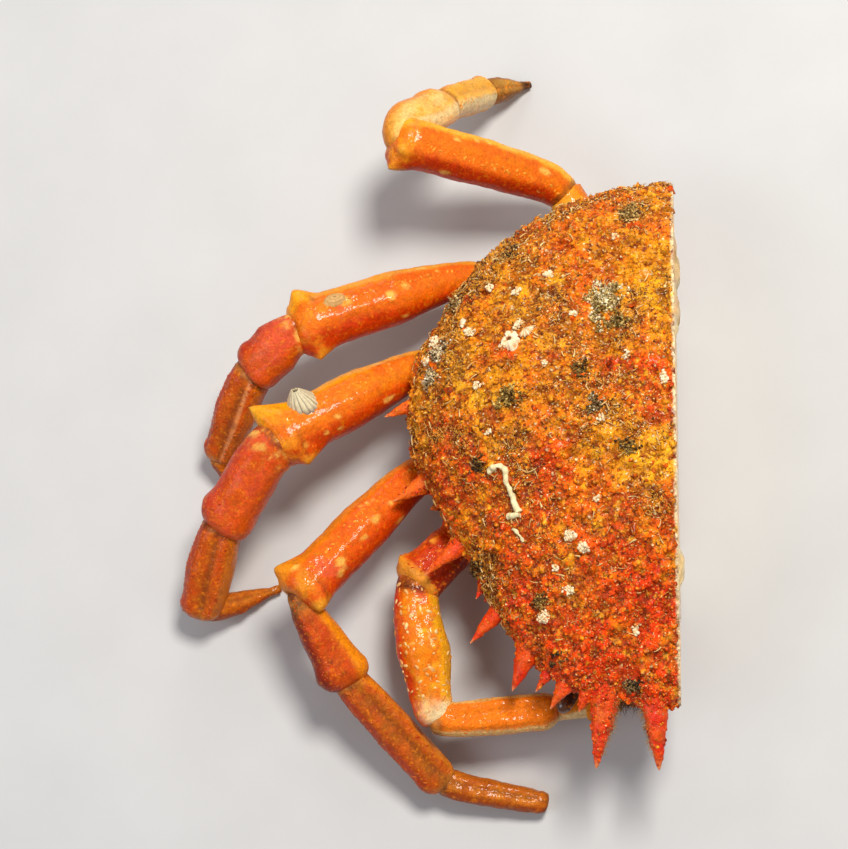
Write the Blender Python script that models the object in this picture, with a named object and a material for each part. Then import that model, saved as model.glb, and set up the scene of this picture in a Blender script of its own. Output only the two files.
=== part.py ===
"""One half of a cooked spider crab, split lengthwise: shell, flesh, sternum, claw arm and four walking legs.

Lengths are in millimetres until `to_metres`. While the half is modelled, the cut lies in the plane X = 0 with the
body on its -X side, the tail end points to +Y, the horns to -Y, and the crab rests on Z = 0. At the end everything is
moved so that the origin is the middle of the bounding box's base.
"""

import math

import bmesh
import bpy
import numpy as np
from mathutils import Vector

TO_METRES = 0.001
GAP = 0.3  # clearance between two pieces that touch
THORN_CLEARANCE = 0.2  # between a thorn's foot and the flesh

# Body
CENTRE_Y = 14.0  # the dome's centre on the cut
CREST_Z = 63.0  # highest point of the dome, before the swellings
FRONT_DROP = 0.11  # the crest falls this much for each millimetre in front of the centre
MARGIN_Z = 30.0  # height of the shell's rim along the side
FOREHEAD_RISE = 7.5  # the rim climbs this much from the side to the horns
SHELL_WALL = 2.2
UNDERSIDE_Z = 4.8  # bottom of the flesh
STERNUM_TOP_Z = UNDERSIDE_Z - GAP
RIM_OUTLINE = (  # the shell's rim in plan, from the tail end of the cut round the side to the horns
    (0.0, 88.5),
    (-16.0, 86.5),
    (-34.0, 81.0),
    (-47.0, 73.0),
    (-59.0, 62.0),
    (-68.5, 48.0),
    (-75.0, 34.0),
    (-76.5, 22.0),
    (-73.5, 6.0),
    (-66.5, -8.0),
    (-58.5, -22.0),
    (-51.5, -36.0),
    (-42.0, -49.0),
    (-31.0, -58.0),
    (-16.0, -62.0),
    (0.0, -60.0),
)
# Tail flap, folded under the body
FLAP_HALF_WIDTH = 15.0
FLAP_THICKNESS = 2.2
FLAP_TIP_Y = -12.0
FLAP_ROOT_Y = 54.0
# Swellings of the shell: (x, y, spread, height)
SWELLINGS = (
    (-10.0, -14.0, 17.0, 3.0),  # stomach
    (-5.0, 36.0, 12.0, 2.2),  # heart
    (-3.0, 66.0, 10.0, 2.0),  # gut
    (-46.0, 26.0, 20.0, 3.0),  # gills
    (-44.0, -18.0, 10.0, 2.4),  # liver
    (-28.0, 4.0, 7.0, -1.6),  # groove between stomach and gills
    (-20.0, 52.0, 7.0, -1.2),  # groove beside the heart
)
# Rim rings below the widest line: (share of the plan radius, drop below the rim)
UNDERCUT = ((0.985, 3.0), (0.945, 5.6), (0.87, 7.4), (0.79, 8.6))
DOME_RINGS = 10
COLUMNS = 28
THORN_SIDES = 7
HORN_SIDES = 12

# Thorns of the shell: (name, base, tip, base radius)
THORNS = (
    ("side_1", (-72.5, 26.0, 31.0), (-83.5, 21.3, 33.0), 3.2),
    ("side_2", (-69.5, 3.5, 31.0), (-81.0, -3.4, 33.5), 3.9),
    ("side_3", (-60.0, -14.5, 32.0), (-72.0, -25.0, 34.5), 3.6),
    ("side_4", (-54.5, -26.5, 31.5), (-57.5, -31.5, 32.0), 2.2),
    ("side_5", (-49.5, -33.5, 32.5), (-59.0, -44.3, 34.0), 3.5),
    ("side_6", (-41.5, -44.5, 34.0), (-47.2, -58.0, 34.5), 4.6),
    ("orbit_1", (-35.0, -50.5, 36.0), (-40.5, -58.5, 36.5), 3.0),
    ("orbit_2", (-30.0, -54.0, 38.0), (-36.4, -63.5, 38.0), 3.8),
    ("brow", (-24.5, -56.0, 39.0), (-28.5, -64.5, 38.0), 3.6),
)
HORNS = (
    ("horn_outer", (-20.3, -56.0, 38.5), (-23.6, -80.2, 36.5), 5.0),
    ("horn_inner", (-7.0, -56.0, 38.5), (-6.6, -81.0, 36.5), 5.0),
)

# Limbs: the joints from the body outwards, and for each article its half width near the start, in the middle and
# near the end. HEIGHT_SHARE makes a section's height from its width.
ARTICLES = ("base", "merus", "carpus", "propodus", "dactyl")
HEIGHT_SHARE = 0.9
LIMBS = {
    "claw": {
        "joints": (
            (-27.0, -15.5, 12.3),
            (-56.5, -7.5, 15.0),
            (-76.0, -25.5, 21.0),
            (-69.9, -65.0, 19.0),
            (-36.0, -61.5, 16.5),
            (-16.5, -58.0, 14.2),
        ),
        "widths": (
            (6.0, 6.2, 5.8),
            (6.0, 7.0, 7.4),
            (6.2, 7.7, 5.4),
            (5.0, 5.4, 5.0),
            (3.0, 2.5, 1.1),
        ),
    },
    "leg_1": {
        "joints": (
            (-36.0, 5.5, 12.5),
            (-72.5, 9.0, 17.0),
            (-108.3, -29.6, 31.0),
            (-94.7, -53.3, 20.0),
            (-68.6, -81.5, 8.0),
            (-39.5, -87.0, 3.2),
        ),
        "widths": (
            (6.0, 6.2, 5.8),
            (5.8, 7.5, 7.7),
            (4.4, 5.9, 7.0),
            (5.4, 5.9, 5.4),
            (4.0, 4.0, 3.3),
        ),
    },
    "leg_2": {
        "joints": (
            (-37.0, 25.0, 12.5),
            (-71.0, 40.0, 17.0),
            (-115.1, 14.7, 33.0),
            (-132.1, -8.5, 22.0),
            (-140.0, -31.6, 9.0),
            (-117.5, -23.4, 1.4),
        ),
        "widths": (
            (6.0, 6.2, 5.6),
            (5.6, 8.0, 8.3),
            (7.2, 7.7, 7.6),
            (6.2, 6.9, 5.8),
            (3.8, 3.4, 1.3),
        ),
    },
    "leg_3": {
        "joints": (
            (-28.5, 41.8, 12.3),
            (-56.0, 66.0, 17.5),
            (-108.8, 47.6, 33.0),
            (-123.1, 36.4, 26.0),
            (-135.2, 15.0, 7.5),
            (-127.0, 4.0, 1.2),
        ),
        "widths": (
            (6.0, 6.0, 5.2),
            (5.2, 7.9, 8.3),
            (5.8, 7.6, 6.8),
            (6.0, 6.2, 4.8),
            (3.6, 2.8, 1.1),
        ),
    },
    "leg_4": {
        "joints": (
            (-14.0, 52.0, 12.0),
            (-32.0, 91.0, 16.5),
            (-79.5, 101.4, 41.0),
            (-66.0, 115.0, 30.0),
            (-55.7, 124.7, 9.0),
            (-43.0, 129.0, 1.1),
        ),
        "widths": (
            (5.8, 6.0, 5.2),
            (6.4, 6.9, 7.5),
            (5.4, 6.6, 5.8),
            (5.0, 5.0, 4.4),
            (3.9, 3.2, 1.1),
        ),
    },
}
FIXED_FINGER = ((-42.0, -60.5, 14.6), (-17.5, -60.5, 9.4), (3.8, 2.9, 1.1))  # start, end, half widths
ARTICLE_SIDES = 10
BARNACLE_SEAT = ("leg_2", 0.78, 0.75)  # limb, share of the merus's length, lean from its top in radians
BARNACLE_RADIUS = 4.9
BARNACLE_HEIGHT = 6.5
# Along an article: (share of its length, which of its three widths, factor)
STATIONS = (
    (0.00, 0, 0.76),
    (0.06, 0, 0.97),
    (0.22, 0, 1.02),
    (0.50, 1, 1.00),
    (0.78, 2, 0.97),
    (0.93, 2, 1.05),
    (1.00, 2, 0.82),
)
# Pieces of the face, each growing out of the flesh: (name, start, end, half widths, slot)
FACE = (
    ("antenna_base", (-17.0, -34.5, 21.6), (-24.5, -65.5, 25.5), (3.0, 3.2, 2.8), "limb"),
    ("eye", (-20.2, -38.0, 24.5), (-33.4, -62.0, 28.6), (1.9, 1.9, 2.5), "eye"),
    ("maxilliped", (-9.0, -29.5, 9.5), (-9.0, -42.0, 26.0), (6.0, 6.4, 5.0), "limb"),
)

COLOURS = {  # base colour, roughness
    "shell": ((0.62, 0.16, 0.035), 0.55),
    "limb": ((0.75, 0.17, 0.02), 0.35),
    "flesh": ((0.86, 0.78, 0.66), 0.6),
    "sternum": ((0.80, 0.52, 0.26), 0.5),
    "eye": ((0.03, 0.02, 0.015), 0.15),
    "growth": ((0.72, 0.66, 0.52), 0.7),
}


def clear_scene():
    for obj in list(bpy.data.objects):
        bpy.data.objects.remove(obj)


def material(slot):
    found = bpy.data.materials.get(slot)
    if found:
        return found
    colour, roughness = COLOURS[slot]
    made = bpy.data.materials.new(slot)
    made.use_nodes = True
    shader = made.node_tree.nodes["Principled BSDF"]
    shader.inputs["Base Color"].default_value = (*colour, 1.0)
    shader.inputs["Roughness"].default_value = roughness
    shader.inputs["Metallic"].default_value = 0.0
    return made


def add_object(name, points, faces, slot):
    mesh = bpy.data.meshes.new(name)
    mesh.from_pydata([tuple(p) for p in points], [], faces)
    tidy = bmesh.new()
    tidy.from_mesh(mesh)
    bmesh.ops.recalc_face_normals(tidy, faces=tidy.faces)
    tidy.to_mesh(mesh)
    tidy.free()
    mesh.materials.append(material(slot))
    mesh.shade_smooth()
    obj = bpy.data.objects.new(name, mesh)
    bpy.context.scene.collection.objects.link(obj)
    return obj


def as_guide(obj):
    obj.hide_render = True
    obj.display_type = "WIRE"
    return obj


def boolean(obj, other, operation):
    step = obj.modifiers.new(f"{operation.lower()}_{other.name}", "BOOLEAN")
    step.operation = operation
    step.solver = "EXACT"
    step.object = other


def smooth_step(share):
    share = min(max(share, 0.0), 1.0)
    return share * share * (3.0 - 2.0 * share)


# ---- the body ----


def rim_radii():
    """Plan radius of the rim for each column, from the tail end of the cut to the horns."""
    x, y = np.array(RIM_OUTLINE).T
    angles = np.arctan2(-x, y - CENTRE_Y)  # 0 at the tail end, pi at the horns
    radii = np.hypot(x, y - CENTRE_Y)
    wanted = np.linspace(0.0, math.pi, COLUMNS + 1)
    slopes = np.gradient(radii, angles)
    found = []
    for angle in wanted:
        k = int(np.clip(np.searchsorted(angles, angle) - 1, 0, len(angles) - 2))
        span = angles[k + 1] - angles[k]
        t = (angle - angles[k]) / span
        found.append(
            (2 * t**3 - 3 * t**2 + 1) * radii[k]
            + (t**3 - 2 * t**2 + t) * span * slopes[k]
            + (3 * t**2 - 2 * t**3) * radii[k + 1]
            + (t**3 - t**2) * span * slopes[k + 1]
        )
    return wanted, np.array(found)


def plan_point(angle, radius, share):
    return -share * radius * math.sin(angle), CENTRE_Y + share * radius * math.cos(angle)


def rim_height(x, y):
    return MARGIN_Z + FOREHEAD_RISE * smooth_step((-26.0 - y) / 30.0) * smooth_step((x + 56.0) / 26.0)


def dome_height(x, y, share, rim_z):
    crest = CREST_Z - FRONT_DROP * max(0.0, CENTRE_Y - y)
    height = rim_z + (crest - rim_z) * math.sqrt(max(0.0, 1.0 - share**2.1))
    fade = 1.0 - share**6
    for swell_x, swell_y, spread, rise in SWELLINGS:
        away = ((x - swell_x) ** 2 + (y - swell_y) ** 2) / spread**2
        height += fade * rise * math.exp(-away)
    return height


def shell_grid():
    """Outer surface of the shell as [ring][column] points. Ring 0 is the crest on the cut."""
    angles, radii = rim_radii()
    # Rings crowd towards the rim, where the dome is steep.
    shares = [math.sin(0.5 * math.pi * i / DOME_RINGS) for i in range(DOME_RINGS + 1)]
    rings = []
    for share in shares:
        ring = []
        for angle, radius in zip(angles, radii):
            rim_z = rim_height(*plan_point(angle, radius, 1.0))
            x, y = plan_point(angle, radius, share)
            ring.append((x, y, dome_height(x, y, share, rim_z)))
        rings.append(ring)
    for share, drop in UNDERCUT:
        ring = []
        for angle, radius in zip(angles, radii):
            rim_z = rim_height(*plan_point(angle, radius, 1.0))
            ring.append((*plan_point(angle, radius, share), rim_z - drop))
        rings.append(ring)
    grid = np.array(rings)
    grid[:, 0, 0] = grid[:, -1, 0] = 0.0
    return grid


def inward(grid, depth):
    """The grid moved inwards along its normals, with its two cut columns kept in the plane of the cut."""
    along = np.gradient(grid, axis=0)
    across = np.gradient(grid, axis=1)
    normals = np.cross(along, across)
    normals[0] = normals[1]
    normals[:, [0, -1], 0] = 0.0
    normals /= np.linalg.norm(normals, axis=2, keepdims=True)
    outward = grid - np.array([0.0, CENTRE_Y, MARGIN_Z])
    normals *= np.sign((normals * outward).sum(axis=2, keepdims=True))
    moved = grid - depth * normals
    moved[0] = grid[0, 0] - np.array([0.0, 0.0, depth])
    moved[:, [0, -1], 0] = 0.0
    moved[..., 0] = np.minimum(moved[..., 0], 0.0)
    return moved


class Faces:
    """Collects points and faces, with ring 0 of a grid as one point."""

    def __init__(self):
        self.points = []
        self.faces = []

    def grid(self, grid):
        rings, columns = grid.shape[:2]
        first = len(self.points)
        self.points.append(tuple(grid[0, 0]))
        for ring in grid[1:]:
            self.points += [tuple(p) for p in ring]
        index = np.full((rings, columns), first)
        for i in range(1, rings):
            index[i] = first + 1 + (i - 1) * columns + np.arange(columns)
        return index

    def skin(self, index, turned=False):
        for i in range(len(index) - 1):
            for j in range(index.shape[1] - 1):
                corners = [index[i, j], index[i + 1, j], index[i + 1, j + 1], index[i, j + 1]]
                self.add(corners, turned)

    def band(self, first, second, turned=False):
        for k in range(len(first) - 1):
            self.add([first[k], first[k + 1], second[k + 1], second[k]], turned)

    def add(self, corners, turned=False):
        kept = [c for k, c in enumerate(corners) if c != corners[k - 1]]
        self.faces.append([int(c) for c in (kept[::-1] if turned else kept)])


def build_shell():
    outer_grid = shell_grid()
    inner_grid = inward(outer_grid, SHELL_WALL)
    faces = Faces()
    outer, inner = faces.grid(outer_grid), faces.grid(inner_grid)
    faces.skin(outer)
    faces.skin(inner, turned=True)
    faces.band(outer[-1], inner[-1])  # the rim's edge
    faces.band(outer[:, 0], inner[:, 0])  # the cut, tail half
    faces.band(outer[:, -1], inner[:, -1])  # the cut, front half
    shell = add_object("carapace", faces.points, faces.faces, "shell")
    for name, base, tip, radius in (*THORNS, *HORNS):
        horn = any(name == h[0] for h in HORNS)
        spike = build_spike(name, base, tip, radius, rounds=HORN_SIDES if horn else THORN_SIDES)
        boolean(shell, as_guide(spike), "UNION")
    return shell


def build_spike(name, base, tip, radius, rounds):
    """A thorn: a cone with a slightly hollow flank, a foot sunk in the shell and a blunt point."""
    base, tip = Vector(base), Vector(tip)
    axis = (tip - base).normalized()
    side = axis.cross(Vector((0.0, 0.0, 1.0))).normalized()
    up = side.cross(axis)
    length = (tip - base).length
    profile = ((-0.12, 0.8), (0.0, 1.0), (0.35, 0.70), (0.72, 0.33), (0.97, 0.07))
    points = []
    for share, factor in profile:
        for k in range(rounds):
            turn = 2.0 * math.pi * k / rounds
            offset = side * math.cos(turn) + up * math.sin(turn) * 0.85
            points.append(base + axis * share * length + offset * radius * factor)
    count = len(profile)
    points += [base - axis * 0.2 * length, tip]
    foot, point = count * rounds, count * rounds + 1
    faces = []
    for i in range(count - 1):
        for k in range(rounds):
            following = (k + 1) % rounds
            a, b = i * rounds + k, i * rounds + following
            faces.append((a, b, b + rounds, a + rounds))
    for k in range(rounds):
        following = (k + 1) % rounds
        faces.append((foot, following, k))
        faces.append((point, (count - 1) * rounds + k, (count - 1) * rounds + following))
    return add_object(name, points, faces, "shell")


def foot_share(angle):
    """How much of the plan radius the body's narrow lower part takes up: least at the side, where the legs join."""
    lengthwise = math.cos(angle) ** 2
    return 0.46 + 0.30 * lengthwise * (1.0 - 0.55 * lengthwise)


def lower_rings(steps):
    """Rings of the body's underside: (how far the radius goes from the rim's share to the foot's, height) pairs."""
    angles, radii = rim_radii()
    rings = []
    for towards_foot, height_of in steps:
        ring = []
        for angle, radius in zip(angles, radii):
            rim_z = rim_height(*plan_point(angle, radius, 1.0))
            foot = foot_share(angle)
            share = UNDERCUT[-1][0] * 0.97 * (1.0 - towards_foot) + foot * towards_foot
            ring.append((*plan_point(angle, radius, share), height_of(rim_z)))
        rings.append(ring)
    return rings


def build_flesh():
    top = inward(shell_grid(), SHELL_WALL + GAP)[:-1]
    lower = lower_rings(
        (
            (0.25, lambda rim_z: rim_z - 9.5),
            (0.55, lambda rim_z: 0.7 * (rim_z - 6.0)),
            (0.82, lambda rim_z: 11.5),
            (1.04, lambda rim_z: UNDERSIDE_Z),
        )
    )
    middle = np.tile(np.array([[0.0, CENTRE_Y, UNDERSIDE_Z]]), (COLUMNS + 1, 1))
    grid = np.concatenate([top, np.array(lower), middle[None]])
    grid[:, [0, -1], 0] = 0.0
    faces = Faces()
    index = faces.grid(grid[:-1])
    faces.skin(index)
    faces.points.append(tuple(middle[0]))
    bottom = len(faces.points) - 1
    for j in range(COLUMNS):
        faces.add([index[-1, j], bottom, index[-1, j + 1]])
    tail, front = list(index[:, 0]), list(index[:, -1])
    faces.add([*tail[::-1], *front[1:], bottom])  # the cut face
    return add_object("flesh", faces.points, faces.faces, "flesh")


def plate(name, outline_share, levels, slot):
    """A closed plate under the body. levels are (share of the outline, height), from top to bottom."""
    angles, radii = rim_radii()
    rings = []
    for share, height in levels:
        ring = []
        for angle, radius in zip(angles, radii):
            ring.append((*plan_point(angle, radius, share * outline_share(angle)), height))
        rings.append(ring)
    grid = np.array(rings)
    grid[:, [0, -1], 0] = 0.0
    top_middle, bottom_middle = levels[0][1], levels[-1][1]
    faces = Faces()
    faces.points.append((0.0, CENTRE_Y, top_middle))
    for ring in grid:
        faces.points += [tuple(p) for p in ring]
    faces.points.append((0.0, CENTRE_Y, bottom_middle))
    columns = COLUMNS + 1
    index = 1 + np.arange(len(levels) * columns).reshape(len(levels), columns)
    faces.skin(index)
    last = len(faces.points) - 1
    for j in range(COLUMNS):
        faces.add([0, index[0, j], index[0, j + 1]])
        faces.add([index[-1, j], last, index[-1, j + 1]])
    faces.add([0, *index[:, -1], last, *index[::-1, 0]])
    return add_object(name, faces.points, faces.faces, slot)


def build_sternum():
    """The ventral plate, with a recess along the cut in which the tail flap lies."""
    levels = ((0.55, STERNUM_TOP_Z), (1.03, STERNUM_TOP_Z), (1.06, 3.0), (1.0, 0.9), (0.88, 0.0), (0.5, 0.0))
    sternum = plate("sternum", foot_share, levels, "sternum")
    recess = build_tail_flap("recess", FLAP_THICKNESS + GAP, FLAP_HALF_WIDTH + GAP, -1.0)
    boolean(sternum, as_guide(recess), "DIFFERENCE")
    return sternum


def build_tail_flap(name="tail_flap", top=FLAP_THICKNESS, half_width=FLAP_HALF_WIDTH, bottom=0.2):
    """The abdomen folded under the body: half of a tongue with a round tip, in the recess of the sternum."""
    grown = half_width - FLAP_HALF_WIDTH
    rows = 14
    outline = []
    for k in range(rows + 1):
        turn = 0.5 * math.pi * k / rows
        y = FLAP_TIP_Y - grown + (1.0 - math.cos(turn)) * 46.0
        outline.append((-half_width * math.sin(turn) ** 0.8, y))
    outline[0] = (0.0, FLAP_TIP_Y - grown)
    outline.append((-half_width, FLAP_ROOT_Y + grown))
    start_x = grown * 10.0  # a cutter runs past the cut
    outline = [(start_x, outline[0][1]), *outline[1:], (start_x, FLAP_ROOT_Y + grown)]
    points = [(x, y, top) for x, y in outline] + [(x, y, bottom) for x, y in outline]
    count = len(outline)
    faces = [list(range(count)), list(range(2 * count - 1, count - 1, -1))]
    for k in range(count):
        following = (k + 1) % count
        faces.append([k, following, count + following, count + k])
    return add_object(name, points, faces, "sternum")


# ---- the limbs ----


def article_points(start, end, widths, grow=0.0, lift=0.0):
    """Rings along an article, with its middle lifted a little, and the points of its two ends."""
    start, end = Vector(start), Vector(end)
    axis = (end - start).normalized()
    side = axis.cross(Vector((0.0, 0.0, 1.0))).normalized()
    up = side.cross(axis)
    rings = []
    for share, which, factor in STATIONS:
        half = widths[which] * factor + grow
        middle = start.lerp(end, share) + up * lift * math.sin(math.pi * share)
        middle += axis * grow * (2.0 * share - 1.0)
        ring = []
        for k in range(ARTICLE_SIDES):
            turn = 2.0 * math.pi * k / ARTICLE_SIDES
            offset = side * math.cos(turn) * half + up * math.sin(turn) * half * HEIGHT_SHARE
            ring.append(middle + offset)
        rings.append(ring)
    bulge = 0.35 * (widths[0] + grow), 0.25 * (widths[2] + grow)
    ends = start - axis * (bulge[0] + grow), end + axis * (bulge[1] + grow)
    return rings, ends


def build_article(name, start, end, widths, grow=0.0, lift=0.0, slot="limb"):
    rings, ends = article_points(start, end, widths, grow, lift)
    points = [p for ring in rings for p in ring] + list(ends)
    count, rounds = len(rings), ARTICLE_SIDES
    faces = []
    for i in range(count - 1):
        for k in range(rounds):
            following = (k + 1) % rounds
            a, b = i * rounds + k, i * rounds + following
            faces.append((a, b, b + rounds, a + rounds))
    for k in range(rounds):
        following = (k + 1) % rounds
        faces.append((count * rounds, following, k))
        faces.append((count * rounds + 1, (count - 1) * rounds + k, (count - 1) * rounds + following))
    return add_object(name, points, faces, slot)


def build_limb(limb, flesh_guide, sternum_guide):
    joints, widths = LIMBS[limb]["joints"], LIMBS[limb]["widths"]
    for k, article in enumerate(ARTICLES):
        lift = 1.5 if article == "merus" else 0.0
        piece = build_article(f"{limb}_{article}", joints[k], joints[k + 1], widths[k], lift=lift)
        fingered = (limb, article) == ("claw", "propodus")
        if fingered:
            boolean(piece, as_guide(build_article("fixed_finger", *FIXED_FINGER)), "UNION")
        if k == 0:
            boolean(piece, flesh_guide, "DIFFERENCE")
            boolean(piece, sternum_guide, "DIFFERENCE")
        else:
            boolean(piece, before, "DIFFERENCE")
        # The next article is hollowed where it meets this one, with the gap all round.
        before = build_article(f"{limb}_{article}_grown", joints[k], joints[k + 1], widths[k], GAP, lift)
        as_guide(before)
        if fingered:
            boolean(before, as_guide(build_article("fixed_finger_grown", *FIXED_FINGER, GAP)), "UNION")


def grown_copy(obj, grow, suffix="grown"):
    """A helper a little larger than obj, to cut its neighbours with."""
    copy = obj.copy()
    copy.data = obj.data.copy()
    copy.name = f"{obj.name}_{suffix}"
    bpy.context.scene.collection.objects.link(copy)
    swell = copy.modifiers.new("swell", "DISPLACE")
    swell.strength = grow
    swell.mid_level = 0.0
    return as_guide(copy)


def build_barnacle():
    """A barnacle seated on the top of a leg's merus: a cone with a blunt, open-looking top."""
    limb, share, lean = BARNACLE_SEAT
    start, end = (Vector(joint) for joint in LIMBS[limb]["joints"][1:3])
    axis = (end - start).normalized()
    side = axis.cross(Vector((0.0, 0.0, 1.0))).normalized()
    up = (side.cross(axis) * math.cos(lean) + side * math.sin(lean)).normalized()
    half = LIMBS[limb]["widths"][1][2] * HEIGHT_SHARE
    seat = start.lerp(end, share) + up * (half - 1.0)
    across = up.cross(axis)
    radius, height = BARNACLE_RADIUS, BARNACLE_HEIGHT
    # Seen from the side: (radius share, height share), closing in a shallow dish at the top.
    profile = ((1.0, 0.0), (1.02, 0.3), (0.78, 0.8), (0.62, 1.0), (0.42, 1.0), (0.3, 0.78))
    rounds = 12
    points = [seat]
    for share_out, share_up in profile:
        for k in range(rounds):
            turn = 2.0 * math.pi * k / rounds
            offset = axis * math.cos(turn) + across * math.sin(turn)
            points.append(seat + up * height * share_up + offset * radius * share_out)
    points.append(seat + up * height * 0.72)
    faces = []
    for k in range(rounds):
        following = (k + 1) % rounds
        faces.append((0, 1 + following, 1 + k))
        for i in range(len(profile) - 1):
            a, b = 1 + i * rounds + k, 1 + i * rounds + following
            faces.append((a, b, b + rounds, a + rounds))
        last = 1 + (len(profile) - 1) * rounds
        faces.append((last + k, last + following, len(points) - 1))
    barnacle = add_object("barnacle", points, faces, "growth")
    boolean(barnacle, bpy.data.objects[f"{limb}_merus_grown"], "DIFFERENCE")


# ---- the face ----


def build_face(flesh_guide):
    guides = [flesh_guide]
    for name, start, end, widths, slot in FACE:
        piece = build_article(name, start, end, widths, slot=slot)
        for guide in guides:
            boolean(piece, guide, "DIFFERENCE")
        guides.append(as_guide(build_article(f"{name}_grown", start, end, widths, GAP)))


def shift_to_base_centre():
    """Turns millimetres into metres, with the origin at the middle of the bounding box's base."""
    graph = bpy.context.evaluated_depsgraph_get()
    low, high = np.full(3, np.inf), np.full(3, -np.inf)
    for obj in bpy.data.objects:
        if obj.hide_render:
            continue
        mesh = obj.evaluated_get(graph).to_mesh()
        points = np.empty(len(mesh.vertices) * 3)
        mesh.vertices.foreach_get("co", points)
        points = points.reshape(-1, 3)
        low, high = np.minimum(low, points.min(axis=0)), np.maximum(high, points.max(axis=0))
    offset = Vector((-0.5 * (low[0] + high[0]), -0.5 * (low[1] + high[1]), -low[2]))
    print("moved by", [round(v, 2) for v in offset], "size", (high - low).round(1))
    for obj in bpy.data.objects:
        for vertex in obj.data.vertices:
            vertex.co = (vertex.co + offset) * TO_METRES
        for modifier in obj.modifiers:
            if modifier.type == "DISPLACE":
                modifier.strength *= TO_METRES


def main():
    clear_scene()
    shell = build_shell()
    flesh = build_flesh()
    # The thorns' feet end just short of the flesh.
    boolean(shell, grown_copy(flesh, THORN_CLEARANCE, "core"), "DIFFERENCE")
    sternum = build_sternum()
    build_tail_flap()
    flesh_guide = grown_copy(flesh, GAP)
    sternum_guide = grown_copy(sternum, GAP)
    for limb in LIMBS:
        build_limb(limb, flesh_guide, sternum_guide)
    build_barnacle()
    build_face(flesh_guide)
    bpy.context.view_layer.update()
    shift_to_base_centre()


main()
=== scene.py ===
import math
import bpy
import numpy as np
from mathutils import Matrix, Vector


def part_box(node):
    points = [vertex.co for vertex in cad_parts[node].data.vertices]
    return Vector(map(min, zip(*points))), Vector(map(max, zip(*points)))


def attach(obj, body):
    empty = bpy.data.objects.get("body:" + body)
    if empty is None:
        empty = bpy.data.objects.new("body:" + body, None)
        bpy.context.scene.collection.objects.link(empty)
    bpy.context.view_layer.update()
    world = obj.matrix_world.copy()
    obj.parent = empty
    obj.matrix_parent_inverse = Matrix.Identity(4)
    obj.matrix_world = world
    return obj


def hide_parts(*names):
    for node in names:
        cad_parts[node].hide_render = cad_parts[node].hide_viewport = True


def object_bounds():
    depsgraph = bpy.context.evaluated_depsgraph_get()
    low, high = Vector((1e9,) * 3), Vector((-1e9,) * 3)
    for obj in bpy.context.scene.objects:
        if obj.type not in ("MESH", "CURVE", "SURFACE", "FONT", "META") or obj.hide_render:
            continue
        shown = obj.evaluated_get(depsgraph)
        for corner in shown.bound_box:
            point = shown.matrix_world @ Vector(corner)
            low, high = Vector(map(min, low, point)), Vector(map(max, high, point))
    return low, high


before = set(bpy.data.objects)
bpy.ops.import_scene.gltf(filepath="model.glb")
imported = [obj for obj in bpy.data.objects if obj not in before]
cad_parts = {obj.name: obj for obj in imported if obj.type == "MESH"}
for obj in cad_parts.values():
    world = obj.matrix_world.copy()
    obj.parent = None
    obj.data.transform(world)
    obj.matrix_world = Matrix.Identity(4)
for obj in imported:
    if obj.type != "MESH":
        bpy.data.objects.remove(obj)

# One half of a cooked spider crab, split lengthwise. Every shape is worked out in millimetres, with the cut
# in the plane x = 0, the tail end towards +y, the horns towards -y and the floor at z = 0, and is then put in
# the frame.
cadLow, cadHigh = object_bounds()
mm = 0.001
tailEndY = 88.5  # the shell's tail end, from the middle of the dome's length
frameShift = np.array([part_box("flesh")[1].x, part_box("carapace")[1].y - tailEndY * mm, 0.0])


# small helpers

def linear(hexText):
    # sRGB hex to the linear values that shaders work in
    parts = np.array([int(hexText[k:k + 2], 16) for k in (1, 3, 5)]) / 255.0
    return np.where(parts <= 0.04045, parts / 12.92, ((parts + 0.055) / 1.055) ** 2.4)


def smooth(low, high, value):
    share = np.clip((np.asarray(value, float) - low) / (high - low), 0.0, 1.0)
    return share * share * (3.0 - 2.0 * share)


def paintBox(**hexTexts):
    return {name: linear(hexText) for name, hexText in hexTexts.items()}


def mixed(first, second, amount):
    # between two colours, each given as hex or as linear values
    first, second = (linear(colour) if isinstance(colour, str) else colour for colour in (first, second))
    amount = np.clip(np.asarray(amount, float), 0.0, 1.0)[..., None]
    return first * (1.0 - amount) + second * amount


def lattice(points, size, seed=0):
    # smooth random field in -1..1, with features about `size` millimetres across
    spot = points / size + seed * 7.13 + 50.0
    cell = np.floor(spot).astype(np.int64)
    part = spot - cell
    part = part * part * (3.0 - 2.0 * part)
    total = np.zeros(points.shape[:-1])
    for corner in range(8):
        step = np.array([corner & 1, corner >> 1 & 1, corner >> 2 & 1])
        x, y, z = np.moveaxis(cell + step, -1, 0)
        code = (x * 374761393 + y * 668265263 + z * 1442695041 + seed * 974634777) & 0xFFFFFFFF
        code = ((code ^ (code >> 13)) * 1274126177) & 0xFFFFFFFF
        code = code ^ (code >> 16)
        weight = np.prod(np.where(step == 1, part, 1.0 - part), axis=-1)
        total += weight * (code & 0xFFFF) / 65535.0
    return total * 2.0 - 1.0


def rough(points, size, seed=0, octaves=3):
    total, height = 0.0, 1.0
    for k in range(octaves):
        total = total + height * lattice(points, size / 2.1 ** k, seed + k)
        height *= 0.5
    return total / 1.6


def fullTurn(count):
    # the angles of evenly spread points round a circle
    return np.linspace(0.0, 2.0 * math.pi, count, endpoint=False)


def unit(vectors):
    return vectors / np.maximum(np.linalg.norm(vectors, axis=-1, keepdims=True), 1e-9)


def gridFaces(rows, columns, closed=False, turned=False):
    # quads between rows of points; a closed grid joins each row's last point to its first
    row = np.arange(rows - 1)[:, None] * columns
    here = np.arange(columns if closed else columns - 1)
    a, b = row + here, row + (here + 1) % columns
    faces = np.stack([a, a + columns, b + columns, b], axis=-1).reshape(-1, 4)
    return faces[:, ::-1] if turned else faces


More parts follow.
